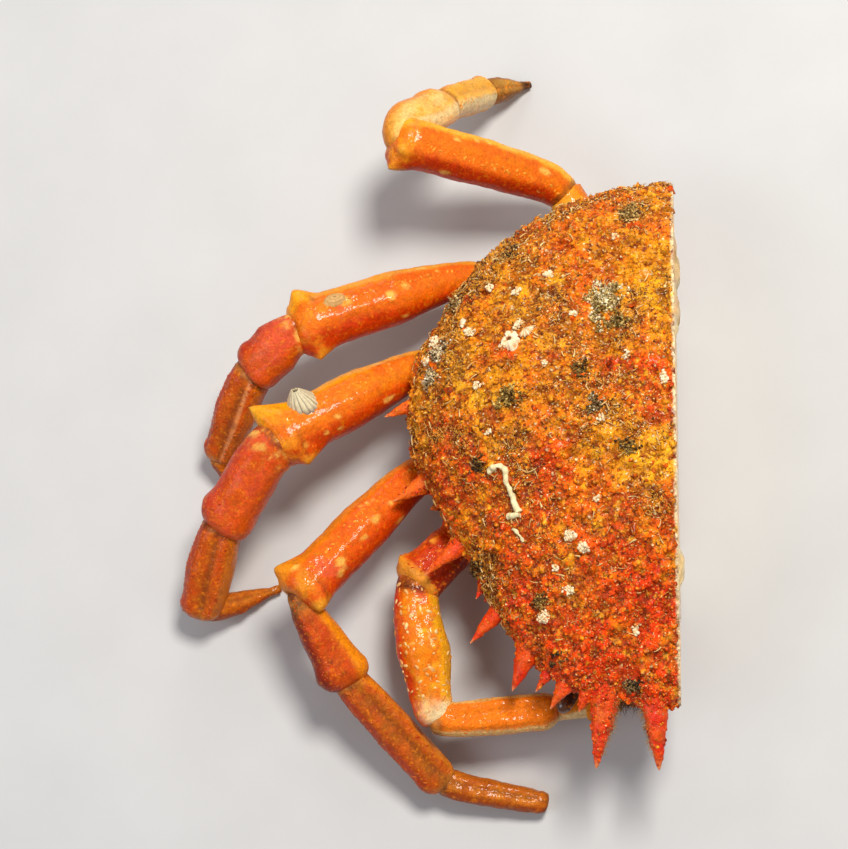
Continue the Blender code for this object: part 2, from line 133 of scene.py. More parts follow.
def fanFaces(ring, middle, closed=True, turned=False):
    following = np.roll(ring, -1) if closed else ring[1:]
    first = ring if closed else ring[:-1]
    faces = np.stack([first, following, np.full(len(first), middle)], axis=-1)
    return faces[:, ::-1] if turned else faces


def tubeFaces(rows, columns):
    # a tube of rings, closed by two end points that come after the rings
    end = rows * columns
    return [gridFaces(rows, columns, closed=True, turned=True), fanFaces(np.arange(columns), end),
            fanFaces(np.arange(end - columns, end), end + 1, turned=True)]


def zipFaces(fine, coarse, turned=False):
    # joins two rows of points that run side by side but hold different numbers of points
    faces, i, j = [], 0, 0
    fineLast, coarseLast = len(fine) - 1, len(coarse) - 1
    while i < fineLast or j < coarseLast:
        if j == coarseLast or (i < fineLast and (i + 1) * coarseLast <= (j + 1) * fineLast):
            faces.append((fine[i], fine[i + 1], coarse[j]))
            i += 1
        else:
            faces.append((fine[i], coarse[j + 1], coarse[j]))
            j += 1
    faces = np.array(faces)
    return faces[:, ::-1] if turned else faces


class Shape:
    # points, faces and vertex colours that are joined into one piece
    def __init__(self):
        self.points, self.faces, self.paint, self.count = [], [], [], 0

    def add(self, points, faces, paint):
        points = points.reshape(-1, 3)
        paint = linear(paint) if isinstance(paint, str) else paint
        paint = np.broadcast_to(paint, points.shape) if np.ndim(paint) == 1 else paint.reshape(-1, 3)
        self.points.append(points)
        self.faces += [np.asarray(part) + self.count for part in faces]
        self.paint.append(paint)
        self.count += len(points)

    def addTube(self, rings, ends, paint, endPaints):
        # a tube of rings of points, closed at its two end points
        self.add(np.concatenate([rings.reshape(-1, 3), ends]), tubeFaces(*rings.shape[:2]),
                 np.concatenate([paint.reshape(-1, 3), [linear(hexText) for hexText in endPaints]]))

    def piece(self, name, material, slotName, replaced=()):
        points, paint = np.concatenate(self.points), np.concatenate(self.paint)
        mesh = bpy.data.meshes.new(name)
        mesh.vertices.add(len(points))
        mesh.vertices.foreach_set("co", (points * mm + frameShift).astype(np.float32).ravel())
        corners = np.concatenate([part.ravel() for part in self.faces]).astype(np.int32)
        sizes = np.concatenate([np.full(len(part), part.shape[1]) for part in self.faces])
        mesh.loops.add(len(corners))
        mesh.loops.foreach_set("vertex_index", corners)
        mesh.polygons.add(len(sizes))
        mesh.polygons.foreach_set("loop_start", np.concatenate([[0], np.cumsum(sizes)[:-1]]).astype(np.int32))
        mesh.update(calc_edges=True)
        layer = mesh.color_attributes.new(name="paint", type="FLOAT_COLOR", domain="POINT")
        solid = np.column_stack([paint, np.ones(len(paint))])
        layer.data.foreach_set("color", solid.astype(np.float32).ravel())
        mesh.materials.append(material)
        mesh.shade_smooth()
        obj = bpy.data.objects.new(name, mesh)
        bpy.context.scene.collection.objects.link(obj)
        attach(obj, "root")
        if replaced:
            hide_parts(*replaced)
        print("made", name, "with", int((sizes - 2).sum()), "triangles")
        return obj


def scattered(shape, model, faces, places, axes, scales, paints, tipPaints=None, tipShare=None):
    # puts one small model at every place: axes are (side, forward, up) rows, scales are per axis
    local = model[None] * scales[:, None, :]
    points = places[:, None, :] + np.einsum("nkc,ncd->nkd", local, axes)
    paint = np.repeat(paints[:, None, :], len(model), axis=1)
    if tipPaints is not None:
        paint = mixed(paint, tipPaints[:, None, :], np.broadcast_to(tipShare, paint.shape[:2]))
    offsets = np.arange(len(places))[:, None, None] * len(model)
    shape.add(points, [(part[None] + offsets).reshape(-1, part.shape[1]) for part in faces], paint)


def strands(shape, roots, directions, curls, lengths, radii, paints, steps=3):
    # thin tapering three-sided hairs that bend towards `curls`
    side = unit(np.cross(directions, curls + np.array([0.013, 0.007, 0.011])))
    other = np.cross(directions, side)
    rings = []
    for k in range(steps):
        share = k / steps
        middle = roots + lengths[:, None] * (directions * share + curls * share ** 2)
        thick = (radii * (1.0 - 0.6 * share))[:, None]
        for turn in (0.0, 2.094, 4.189):
            rings.append(middle + thick * (side * math.cos(turn) + other * math.sin(turn)))
    rings.append(roots + lengths[:, None] * (directions + curls))
    points = np.stack(rings, axis=1)
    quads = gridFaces(steps, 3, closed=True)
    tips = fanFaces(np.arange(3) + (steps - 1) * 3, steps * 3, turned=True)
    offsets = np.arange(len(roots))[:, None, None] * points.shape[1]
    faces = [(quads[None] + offsets).reshape(-1, 4), (tips[None] + offsets).reshape(-1, 3)]
    shape.add(points, faces, np.repeat(paints[:, None, :], points.shape[1], axis=1))


def wart(profile, top):
    # a small lump of six-sided rings, each a radius and a height, under one top point
    model = [(r * math.cos(a), r * math.sin(a), h) for r, h in profile for a in fullTurn(6)]
    last = len(model)
    return np.array(model + [(0.0, 0.0, top)]), [gridFaces(len(profile), 6, closed=True, turned=True),
                                                 fanFaces(np.arange(last - 6, last), last)]


def sortedColours(plain, *groups):
    # one colour for each speck: the plain one, or that of the last group it is in
    colours = np.tile(linear(plain), (len(groups[0][0]), 1))
    for chosen, hexText in groups:
        colours[chosen] = linear(hexText)
    return colours


def framesFrom(normals, rng):
    # a (side, forward, up) frame at each place, turned at random about its normal
    helper = unit(rng.normal(size=normals.shape))
    side = unit(np.cross(normals, helper))
    return np.stack([side, np.cross(normals, side), normals], axis=1)


def surfaceSpots(points, normals, faces, count, rng, keep=None):
    # random places all over a surface of quads, with their normals; `keep` weights the points
    corners = points[faces]
    area = np.linalg.norm(np.cross(corners[:, 2] - corners[:, 0], corners[:, 3] - corners[:, 1]), axis=1)
    if keep is not None:
        area = area * keep[faces].mean(axis=1)
    chosen = rng.choice(len(faces), size=count, p=area / area.sum())
    u, v = rng.random((2, count, 1))
    weights = np.concatenate([(1 - u) * (1 - v), (1 - u) * v, u * v, u * (1 - v)], axis=1)
    spots = np.einsum("nk,nkd->nd", weights, corners[chosen])
    return spots, unit(np.einsum("nk,nkd->nd", weights, normals[faces[chosen]]))


def thinned(spots, distances):
    # keeps spots that stand at least their own distance from every one kept before
    cellSize = float(np.max(distances))
    kept, cells = [], {}
    for index, (spot, apart) in enumerate(zip(spots, distances)):
        cell = tuple(int(v) for v in np.floor(spot / cellSize))
        near = [other for step in np.ndindex(3, 3, 3)
                for other in cells.get(tuple(c + s - 1 for c, s in zip(cell, step)), ())]
        if all(((spots[other] - spot) ** 2).sum() > apart ** 2 for other in near):
            kept.append(index)
            cells.setdefault(cell, []).append(index)
    return np.array(kept)


# materials

def addNode(tree, kind, settings=None, links=None):
    # adds one node: settings are its properties or socket values, links feed its sockets
    node = tree.nodes.new(kind)
    for key, value in (settings or {}).items():
        if isinstance(key, str) and hasattr(node, key):
            setattr(node, key, value)
        else:
            node.inputs[key].default_value = value
    for key, source in (links or {}).items():
        tree.links.new(source, node.inputs[key])
    return node


middling = {"From Min": 0.3, "From Max": 0.7}  # what noise mostly lies between
plainFinish = {
    # what a material has unless it says otherwise: dry, opaque, with no dents and no mottling
    "mottles": (), "dents": (), "glossPatch": 3.0, "subsurface": 0.0, "radius": (1.0, 0.4, 0.2), "depth": 0.5,
    "coat": 0.0, "coatRoughness": 0.3,
}


def newMaterial(name):
    material = bpy.data.materials.new(name)
    material.use_nodes = True
    tree = material.node_tree
    tree.nodes.clear()
    return material, tree


def paintedMaterial(name, look):
    # look: grain sizes in mm, how strongly they tint, shade and dent, and the finish
    look = {**plainFinish, **look}
    material, tree = newMaterial(name)
    grains = {"noise_dimensions": "4D", "Roughness": 0.6}
    spot = addNode(tree, "ShaderNodeTexCoord").outputs["Object"]
    colour = addNode(tree, "ShaderNodeVertexColor", {"layer_name": "paint"}).outputs["Color"]
    for size, low, high, hexText, seed in look["mottles"]:
        noise = addNode(tree, "ShaderNodeTexNoise",
                        {**grains, "W": seed, "Scale": 1.0 / (size * mm), "Detail": 2.5}, {"Vector": spot})
        amount = addNode(tree, "ShaderNodeMapRange", {"From Min": low, "From Max": high},
                         {"Value": noise.outputs["Fac"]})
        colour = addNode(tree, "ShaderNodeMix", {"data_type": "RGBA", 7: (*linear(hexText), 1.0)},
                         {0: amount.outputs["Result"], 6: colour}).outputs[2]
    for size, low, high, seed in look["shading"]:
        noise = addNode(tree, "ShaderNodeTexNoise",
                        {**grains, "W": seed, "Scale": 1.0 / (size * mm), "Detail": 2.0}, {"Vector": spot})
        shade = addNode(tree, "ShaderNodeMapRange", {**middling, "To Min": low, "To Max": high},
                        {"Value": noise.outputs["Fac"]})
        colour = addNode(tree, "ShaderNodeVectorMath", {"operation": "SCALE"},
                         {0: colour, "Scale": shade.outputs["Result"]}).outputs["Vector"]
    gloss = addNode(tree, "ShaderNodeTexNoise", {"Scale": 1.0 / (look["glossPatch"] * mm), "Detail": 3.0},
                    {"Vector": spot})
    low, high = look["roughness"]
    roughness = addNode(tree, "ShaderNodeMapRange", {**middling, "To Min": low, "To Max": high},
                        {"Value": gloss.outputs["Fac"]})
    normal = {}
    for size, depth, seed in look["dents"]:
        noise = addNode(tree, "ShaderNodeTexNoise",
                        {**grains, "W": seed, "Scale": 1.0 / (size * mm), "Detail": 3.0, "Roughness": 0.65},
                        {"Vector": spot})
        bump = addNode(tree, "ShaderNodeBump", {"Strength": 1.0, "Distance": depth * mm},
                       {"Height": noise.outputs["Fac"], **normal})
        normal = {"Normal": bump.outputs["Normal"]}
    shader = addNode(tree, "ShaderNodeBsdfPrincipled", {
        "IOR": look["ior"], "Specular IOR Level": look["specular"], "Subsurface Weight": look["subsurface"],
        "Subsurface Radius": look["radius"], "Subsurface Scale": look["depth"] * mm,
        "Coat Weight": look["coat"], "Coat Roughness": look["coatRoughness"],
    }, {"Base Color": colour, "Roughness": roughness.outputs["Result"], **normal})
    if "film" in look:  # the wet film has low waves of its own, which break its glints up
        size, depth, seed = look["film"]
        noise = addNode(tree, "ShaderNodeTexNoise",
                        {**grains, "W": seed, "Scale": 1.0 / (size * mm), "Detail": 1.0, "Roughness": 0.5},
                        {"Vector": spot})
        film = addNode(tree, "ShaderNodeBump", {"Strength": 1.0, "Distance": depth * mm},
                       {"Height": noise.outputs["Fac"]})
        tree.links.new(film.outputs["Normal"], shader.inputs["Coat Normal"])
    addNode(tree, "ShaderNodeOutputMaterial", None, {"Surface": shader.outputs["BSDF"]})
    return material


# Boiled carapace: lime-stiffened chitin, wet and grainy. Gives broken small glints on a matt rough ground.
shellChitin = paintedMaterial("boiledCarapaceChitin", {
    "mottles": ((2.4, 0.55, 0.70, "#FFB024", 20.0), (2.0, 0.50, 0.34, "#8E2E02", 21.0),
                (0.60, 0.60, 0.70, "#FFDC90", 22.0)),
    "shading": ((0.7, 0.48, 1.40, 1.0), (4.5, 0.82, 1.1, 2.0)),
    "dents": ((0.9, 0.60, 3.0), (0.35, 0.18, 4.0)),
    "roughness": (0.32, 0.6), "ior": 1.52, "specular": 0.12, "coat": 0.13, "coatRoughness": 0.12,
})
# Boiled spines and horns: bare chitin with no cover of bristles. Gives a wet film over plain red orange.
thornChitin = paintedMaterial("boiledThornChitin", {
    "mottles": ((1.3, 0.44, 0.26, "#BC1E00", 27.0), (0.7, 0.61, 0.74, "#FFA04C", 28.0)),
    "shading": ((0.6, 0.72, 1.2, 1.0), (2.4, 0.84, 1.1, 2.0)),
    "dents": ((0.8, 0.5, 3.0),),
    "roughness": (0.26, 0.46), "ior": 1.54, "specular": 0.2, "coat": 0.16, "coatRoughness": 0.1,
})
# Boiled leg shell: thin smooth chitin, moist. Gives a clear gloss over fine pits.
legChitin = paintedMaterial("boiledLegChitin", {
    "mottles": ((1.2, 0.54, 0.82, "#F58A0C", 23.0),),
    "shading": ((0.55, 0.76, 1.16, 9.0), (1.4, 0.86, 1.12, 5.0), (5.0, 0.9, 1.06, 6.0)),
    "dents": ((1.2, 0.36, 7.0), (0.5, 0.28, 8.0)),
    "film": (1.3, 0.20, 17.0), "glossPatch": 4.0, "roughness": (0.32, 0.5), "ior": 1.54, "specular": 0.12,
    "coat": 0.2, "coatRoughness": 0.08,
})
# Setae and weed: dull horn threads. Gives a matt face with a little shine from water.
hairChitin = paintedMaterial("setaeHorn", {
    "shading": ((1.5, 0.8, 1.2, 9.0),), "glossPatch": 2.0, "roughness": (0.45, 0.7), "ior": 1.5,
    "specular": 0.3,
})
# Chalky growths: barnacle plates, worm tubes, sand. Gives the powdery matt face of dry lime.
limeGrowth = paintedMaterial("calcareousGrowth", {
    "shading": ((0.8, 0.82, 1.12, 10.0),), "dents": ((0.5, 0.12, 11.0),), "glossPatch": 2.0,
    "roughness": (0.5, 0.75), "ior": 1.55, "specular": 0.4,
    "subsurface": 0.05, "radius": (1.0, 0.8, 0.6), "depth": 0.8,
})
# Cooked meat: moist protein fibres. Gives a soft glow below the surface and a wet film above.
cookedMeat = paintedMaterial("cookedMeat", {
    "shading": ((0.8, 0.88, 1.08, 12.0), (3.5, 0.92, 1.06, 13.0)),
    "dents": ((1.8, 0.22, 14.0), (0.5, 0.05, 15.0)), "roughness": (0.3, 0.5), "ior": 1.40, "specular": 0.4,
    "subsurface": 0.3, "radius": (1.0, 0.65, 0.35), "depth": 2.4, "coat": 0.45, "coatRoughness": 0.12,
})
# Wet eye: smooth clear horn over dark pigment. Gives one sharp glint.
corneaHorn = paintedMaterial("eyeCornea", {
    "shading": ((1.0, 0.85, 1.15, 16.0),), "roughness": (0.08, 0.16), "ior": 1.45, "specular": 0.5,
    "coat": 0.6, "coatRoughness": 0.05,
})
print("materials ready")


# the carapace

shell = {
    "centreY": 14.0,
    "crestZ": 63.0,
    "frontDrop": 0.11,  # the crest's fall per millimetre ahead of the centre
    "marginZ": 30.0,
    "foreheadRise": 7.5,
    "wall": 2.2,
    "rim": ((0.0, 88.5), (-16.0, 86.5), (-34.0, 81.0), (-47.0, 73.0), (-59.0, 62.0), (-68.5, 48.0),
            (-75.0, 34.0), (-76.5, 22.0), (-73.5, 6.0), (-66.5, -8.0), (-58.5, -22.0), (-51.5, -36.0),
            (-42.0, -49.0), (-31.0, -58.0), (-16.0, -62.0), (0.0, -60.0)),
    # swellings: x, y, spread, height
    "swellings": ((-10.0, -14.0, 17.0, 3.0), (-5.0, 36.0, 12.0, 2.2), (-3.0, 66.0, 10.0, 2.0),
                  (-46.0, 26.0, 20.0, 3.0), (-44.0, -18.0, 10.0, 2.4), (-28.0, 4.0, 7.0, -1.6),
                  (-20.0, 52.0, 7.0, -1.2)),
    "undercut": ((1.0, 0.0), (0.985, 3.0), (0.945, 5.6), (0.87, 7.4), (0.79, 8.6)),
    "columns": 420,
    "domeRings": 142,
    "underRings": 30,
}


def rimRadii(columns):
    # the rim's plan radius from the tail end of the cut round to the horns: a smooth curve through its points
    x, y = np.array(shell["rim"]).T
    angles, radii = np.arctan2(-x, y - shell["centreY"]), np.hypot(x, y - shell["centreY"])
    slopes = np.gradient(radii, angles)
    wanted = np.linspace(0.0, math.pi, columns + 1)
    k = np.clip(np.searchsorted(angles, wanted) - 1, 0, len(angles) - 2)
    span = angles[k + 1] - angles[k]
    t = (wanted - angles[k]) / span
    return wanted, ((2 * t ** 3 - 3 * t ** 2 + 1) * radii[k] + (t ** 3 - 2 * t ** 2 + t) * span * slopes[k]
                    + (3 * t ** 2 - 2 * t ** 3) * radii[k + 1] + (t ** 3 - t ** 2) * span * slopes[k + 1])


def fromMiddle(reach, angles, height):
    # points at a distance and an angle from the dome's middle, seen from above
    x, y = -reach * np.sin(angles), shell["centreY"] + reach * np.cos(angles)
    return np.stack([x, y, height + 0.0 * reach], -1)


def rimHeight(angles, radii):
    # the rim rises over the forehead
    x, y, _ = np.moveaxis(fromMiddle(radii, angles, 0.0), -1, 0)
    forehead = smooth(0.0, 1.0, (-26.0 - y) / 30.0) * smooth(0.0, 1.0, (x + 56.0) / 26.0)
    return shell["marginZ"] + shell["foreheadRise"] * forehead


def shellGrid(columns, domeRings, underRings):
    # the shell's smooth outer surface as [ring][column] points, ring 0 being the crest on the cut
    angles, radii = rimRadii(columns)
    rimZ = rimHeight(angles, radii)
    shares = np.sin(0.5 * math.pi * np.linspace(0.0, 1.0, domeRings + 1))[:, None]
    x, y, _ = np.moveaxis(fromMiddle(shares * radii, angles, 0.0), -1, 0)
    crest = shell["crestZ"] - shell["frontDrop"] * np.maximum(0.0, shell["centreY"] - y)
    z = rimZ + (crest - rimZ) * np.sqrt(np.maximum(0.0, 1.0 - shares ** 2.1))
    for swellX, swellY, spread, rise in shell["swellings"]:
        z = z + (1.0 - shares ** 6) * rise * np.exp(-((x - swellX) ** 2 + (y - swellY) ** 2) / spread ** 2)
    dome = np.stack([x, y, z], axis=-1)
    underShare, underDrop = np.array(shell["undercut"]).T
    steps = np.arange(len(underShare))
    along = np.linspace(0.0, len(steps) - 1.0, underRings + 1)[1:]
    share, drop = (np.interp(along, steps, values)[:, None] for values in (underShare, underDrop))
    grid = np.concatenate([dome, fromMiddle(share * radii, angles, rimZ - drop)])
    grid[:, [0, -1], 0] = 0.0
    return grid


def gridNormals(grid):
    normals = np.cross(np.gradient(grid, axis=0), np.gradient(grid, axis=1))
    normals[0] = normals[1]
    normals[:, [0, -1], 0] = 0.0
    normals = unit(normals)
    outward = grid - np.array([0.0, shell["centreY"], shell["marginZ"]])
    return normals * np.sign((normals * outward).sum(axis=-1, keepdims=True) + 1e-9)


def inwardGrid(grid, depth):
    moved = grid - depth * gridNormals(grid)
    moved[0] = grid[0, 0] - np.array([0.0, 0.0, depth])
    moved[:, [0, -1], 0] = 0.0
    moved[..., 0] = np.minimum(moved[..., 0], 0.0)
    return moved


# rust is real rust on worn and silted places, and painted shade in hollows and at the feet of tubercles
shellPaint = paintBox(orange="#F26A00", red="#F03C00", gold="#F09A10", yellow="#FFB81A", rust="#A23E04",
                      silt="#A05E14", dark="#4A2408", cream="#F2DFB0", crimson="#DE2A08")


def shellColour(points):
    # the cooked shell's own colour: golden at the tail end, red at the front, in soft patches
    x, y = points[..., 0], points[..., 1]
    front, rear = smooth(30.0, -45.0, y), smooth(15.0, 65.0, y)
    patch = rough(points, 15.0, 3)
    fine = rough(points, 4.2, 8)
    colour = mixed(shellPaint["gold"], shellPaint["orange"], 0.55 + 0.45 * front + 1.0 * patch + 1.1 * fine)
    redness = 0.02 + 0.68 * front - 0.30 * rear + 0.9 * rough(points, 12.0, 14) + 0.8 * fine
    colour = mixed(colour, shellPaint["red"], redness)
    nearCut = smooth(-24.0, -5.0, x)
    yellow = smooth(0.35, 0.8, rough(points, 9.0, 21) + 0.5 * fine - 0.5 * front + 0.15)
    for middle, reach in ((49.0, 8.0), (2.0, 11.0)):
        band = smooth(reach, 0.4 * reach, abs(y - middle) + 4.0 * fine)
        yellow = np.maximum(yellow, nearCut * band)
    colour = mixed(colour, shellPaint["yellow"], 0.85 * yellow)
    flecks = smooth(0.0, 0.5, rough(points, 5.0, 25) + 0.1)
    for middle, reach in ((18.0, 8.0), (-32.0, 12.0)):
        flush = smooth(-26.0, -10.0, x) * smooth(reach, 0.4 * reach, abs(y - middle))
        colour = mixed(colour, shellPaint["crimson"], 0.8 * flush * flecks)
    return np.minimum(colour * (1.0 + 0.08 * front)[..., None], 1.0)


def lumps(points):
    # coarse grains, two or three millimetres wide: the paint is lighter on their tops and rust brown and
    # darker between them, as painted light and shade
    return lattice(points, 2.6, 47) + 0.5 * lattice(points, 1.25, 48)


def margin(points):
    # 1 along the side rim, where weed and mud gather
    x, y = points[..., 0], points[..., 1]
    reach = np.interp(y, [p[1] for p in shell["rim"][::-1]], [-p[0] for p in shell["rim"][::-1]])
    patch = smooth(-0.45, 0.25, rough(points, 9.0, 57))
    return smooth(17.0, 3.0, reach + x) * smooth(-58.0, -44.0, y) * patch


def silt(points):
    # how much brown fuzz and sediment lies here
    cover = rough(points, 11.0, 31) + 0.45 * rough(points, 3.2, 35)
    front, rear = smooth(-5.0, -45.0, points[..., 1]), smooth(30.0, 85.0, points[..., 1])
    return smooth(0.0, 0.7, cover + 0.5 * margin(points) + 0.15 * rear - 0.2 * front)


def paleShare(points):
    # light specks are common over the middle of the back and rare at its front and side
    return 0.15 + 0.85 * smooth(-70.0, -40.0, points[..., 0]) * smooth(-40.0, 0.0, points[..., 1])


def buildCarapace():
    smoothGrid = shellGrid(shell["columns"], shell["domeRings"], shell["underRings"])
    normals = gridNormals(smoothGrid)
    below = np.zeros(len(smoothGrid))
    below[shell["domeRings"]:] = np.linspace(0.0, 1.0, shell["underRings"] + 1)
    calm = 1.0 - 0.75 * below[:, None]
    atCut = smooth(0.0, 3.0, -smoothGrid[..., 0])
    lump, swell = lumps(smoothGrid), np.abs(rough(smoothGrid, 5.6, 44))
    relief = 0.80 * rough(smoothGrid, 11.0, 41) + 1.30 * swell + 0.80 * lump
    relief = relief * calm * (0.35 + 0.65 * atCut)
    grid = smoothGrid + normals * relief[..., None]
    grid[0] = grid[0, 0]
    grid[:, [0, -1], 0] = 0.0
    grid[..., 0] = np.minimum(grid[..., 0], 0.0)

    paint = shellColour(smoothGrid)
    # pitShade marks the hollows between grains, which are painted rust brown and, where silt lies, dark:
    # painted shade together with sediment
    pitShade = smooth(0.10, -0.55, lump + 0.8 * (swell - 0.25))
    crust = silt(smoothGrid)
    paint = mixed(paint, shellPaint["silt"], 0.6 * crust)
    worn = smooth(-20.0, -60.0, smoothGrid[..., 0]) + 0.7 * smooth(30.0, 75.0, smoothGrid[..., 1])
    paint = mixed(paint, shellPaint["rust"], 0.6 * worn * smooth(0.05, 0.5, rough(smoothGrid, 8.0, 33)))
    dirt = 0.26 * margin(smoothGrid) * smooth(-0.3, 0.5, rough(smoothGrid, 4.0, 37))
    paint = mixed(paint, shellPaint["dark"], dirt)
    # the paint is lighter on the grains' tops and darker between them: painted light and shade
    paint = paint * (1.0 + 0.24 * np.clip(lump, -1.0, 1.0))[..., None]
    paint = mixed(paint, shellPaint["rust"], (0.50 + 0.3 * crust) * pitShade)
    mud = smooth(0.35, 1.0, crust + 0.5 * rough(smoothGrid, 2.6, 52))
    paint = mixed(paint, shellPaint["dark"], 0.7 * pitShade * mud)
    paint = mixed(paint, "#C98A4A", 0.8 * np.broadcast_to(below[:, None], paint.shape[:2]))
    edge = smooth(1.1, 0.4, -smoothGrid[..., 0] + 0.35 * lattice(smoothGrid, 1.6, 55))
    paint = mixed(paint, shellPaint["cream"], 0.9 * edge)

    made = Shape()
    rows, columns = grid.shape[:2]
    made.add(grid, [gridFaces(rows, columns)], paint)
    # the inside of the wall, coarser, and the band that closes the wall at the rim's foot
    whole = inwardGrid(smoothGrid, shell["wall"])
    inner = np.concatenate([whole[::6, ::6], whole[-1:, ::6]])
    made.add(inner, [gridFaces(*inner.shape[:2], turned=True)], "#D9B48A")
    lastOuter, lastInner = np.arange(rows * columns)[-columns:], np.arange(made.count)[-inner.shape[1]:]
    made.faces.append(zipFaces(lastOuter, lastInner))
    # the wall's section at the cut, pale as lime
    section = Shape()
    for side, turned in ((0, False), (-1, True)):
        outerLine, innerLine = grid[:, side], inner[:, side]
        lime = mixed(shellPaint["cream"], "#DD8A3C", smooth(-0.1, 0.6, rough(outerLine, 3.0, 58)))
        bare = np.tile(linear("#FBEFD2"), (len(innerLine), 1))
        section.add(np.concatenate([outerLine, innerLine]),
                    [zipFaces(np.arange(rows), rows + np.arange(len(innerLine)), turned)],
                    np.concatenate([lime, bare]))
    section.piece("carapaceCutEdge", limeGrowth, "shell")
    return made, grid, smoothGrid, normals


thorns = {
    # name: base, tip, radius of the base
    "side1": ((-72.5, 26.0, 31.0), (-83.5, 21.3, 33.0), 3.2),
    "side2": ((-69.5, 3.5, 31.0), (-81.0, -3.4, 33.5), 3.9),
    "side3": ((-60.0, -14.5, 32.0), (-72.0, -25.0, 34.5), 3.6),
    "side4": ((-54.5, -26.5, 31.5), (-57.5, -31.5, 32.0), 2.2),
    "side5": ((-49.5, -33.5, 32.5), (-59.0, -44.3, 34.0), 3.5),
    "side6": ((-41.5, -44.5, 34.0), (-47.2, -58.0, 34.5), 4.6),
    "orbit1": ((-35.0, -50.5, 36.0), (-40.5, -58.5, 36.5), 3.0),
    "orbit2": ((-30.0, -54.0, 38.0), (-36.4, -63.5, 38.0), 3.8),
    "brow": ((-24.5, -56.0, 39.0), (-28.5, -64.5, 38.0), 3.6),
    "hornOuter": ((-20.3, -56.0, 38.5), (-23.8, -80.0, 36.5), 5.1),
    "hornInner": ((-7.6, -56.0, 38.5), (-6.4, -80.6, 36.5), 5.1),
}


thornLooks = {
    # steps along and around, how much it narrows, how it bows, how bumpy it is, how many granules it bears
    "horn": {"rings": 60, "around": 40, "taper": 0.86, "bow": 1.0, "bump": 0.36, "granules": 420},
    "spine": {"rings": 34, "around": 28, "taper": 0.93, "bow": 0.6, "bump": 0.22, "granules": 90},
}


def lookOf(thornName):
    return thornLooks["horn" if thornName.startswith("horn") else "spine"]


def buildThorn(made, base, tip, radius, seed, look):
    base, tip = np.array(base), np.array(tip)
    axis = unit(tip - base)
    side = unit(np.cross(axis, (0.0, 0.0, 1.0)))
    up = np.cross(side, axis)
    length = np.linalg.norm(tip - base)
    share = np.linspace(-0.25, 1.0, look["rings"])[:, None]
    turn = fullTurn(look["around"])[None]
    # a foot that spreads into the shell, a slightly hollow flank and a fine point
    straight = 1.0 - look["taper"] * np.maximum(share, 0.0)
    closing = np.sqrt(np.clip(1.0 - np.clip(share, 0.0, 1.0) ** 16, 0.0, 1.0))
    thick = radius * (straight * closing + 0.26 * np.exp(-((share + 0.05) / 0.14) ** 2))
    thick = np.maximum(thick * (1.0 + 0.25 * np.minimum(share, 0.0)), 0.10)
    bow = 0.05 * length * np.sin(math.pi * np.clip(share, 0, 1)) * look["bow"]
    points = (base + axis * share[..., None] * length + side * (thick * np.cos(turn))[..., None]
              + up * (0.82 * thick * np.sin(turn) + bow)[..., None])
    outward = side * np.cos(turn)[..., None] + up * np.sin(turn)[..., None]
    bump = look["bump"] * lattice(points, 1.4, seed) + 0.30 * rough(points, 3.5, seed + 3)
    points = points + outward * (bump * smooth(1.0, 0.7, share))[..., None]
    behind = float(smooth(-30.0, 20.0, base[1]))
    red = mixed("#E22C00", "#F0680A", 0.25 + 0.9 * behind + 0.8 * rough(points, 4.0, seed + 5))
    paint = mixed(red, shellColour(points), 0.8 * smooth(0.2, -0.05, share) * np.ones_like(turn))
    paint = mixed(paint, shellPaint["rust"], 0.6 * silt(points) * smooth(0.25, 0.0, share))
    paint = mixed(paint, "#F0A468", 0.7 * smooth(0.86, 1.0, share) * np.ones_like(turn))
    made.addTube(points, [base - axis * 0.26 * length, tip], paint, ("#A23E04", "#F0A468"))
    return points, np.broadcast_to(outward, points.shape)


carapace, outerGrid, calmGrid, outerNormals = buildCarapace()
carapace.piece("carapaceShell", shellChitin, "shell", ("carapace",))
spines = Shape()
thornSkins = []
for number, (thornName, (base, tip, radius)) in enumerate(thorns.items()):
    thornSkins.append((thornName, *buildThorn(spines, base, tip, radius, 60 + number, lookOf(thornName))))
spines.piece("carapaceSpines", thornChitin, "shell")


# what covers the carapace: tubercles, grit, setae

shellFaces = gridFaces(*outerGrid.shape[:2])
shellPoints, shellFacing = outerGrid.reshape(-1, 3), outerNormals.reshape(-1, 3)
onDome = np.ones(outerGrid.shape[:2])
onDome[shell["domeRings"] + 12:] = 0.0
onDome = onDome.ravel()


def domeSpots(count, rng, fromCut, keep=1.0):
    # random places on the dome, at least `fromCut` mm away from the cut
    spots, facing = surfaceSpots(shellPoints, shellFacing, shellFaces, count, rng, onDome * keep)
    inside = spots[:, 0] < -fromCut
    return spots[inside], facing[inside]


tubercles = {
    # measures run from the smallest to the biggest, in mm
    "tries": 24000, "most": 4800, "seed": 11, "apart": (1.25, 2.8), "radius": (0.46, 1.15),
    "height": (0.5, 1.35),
}


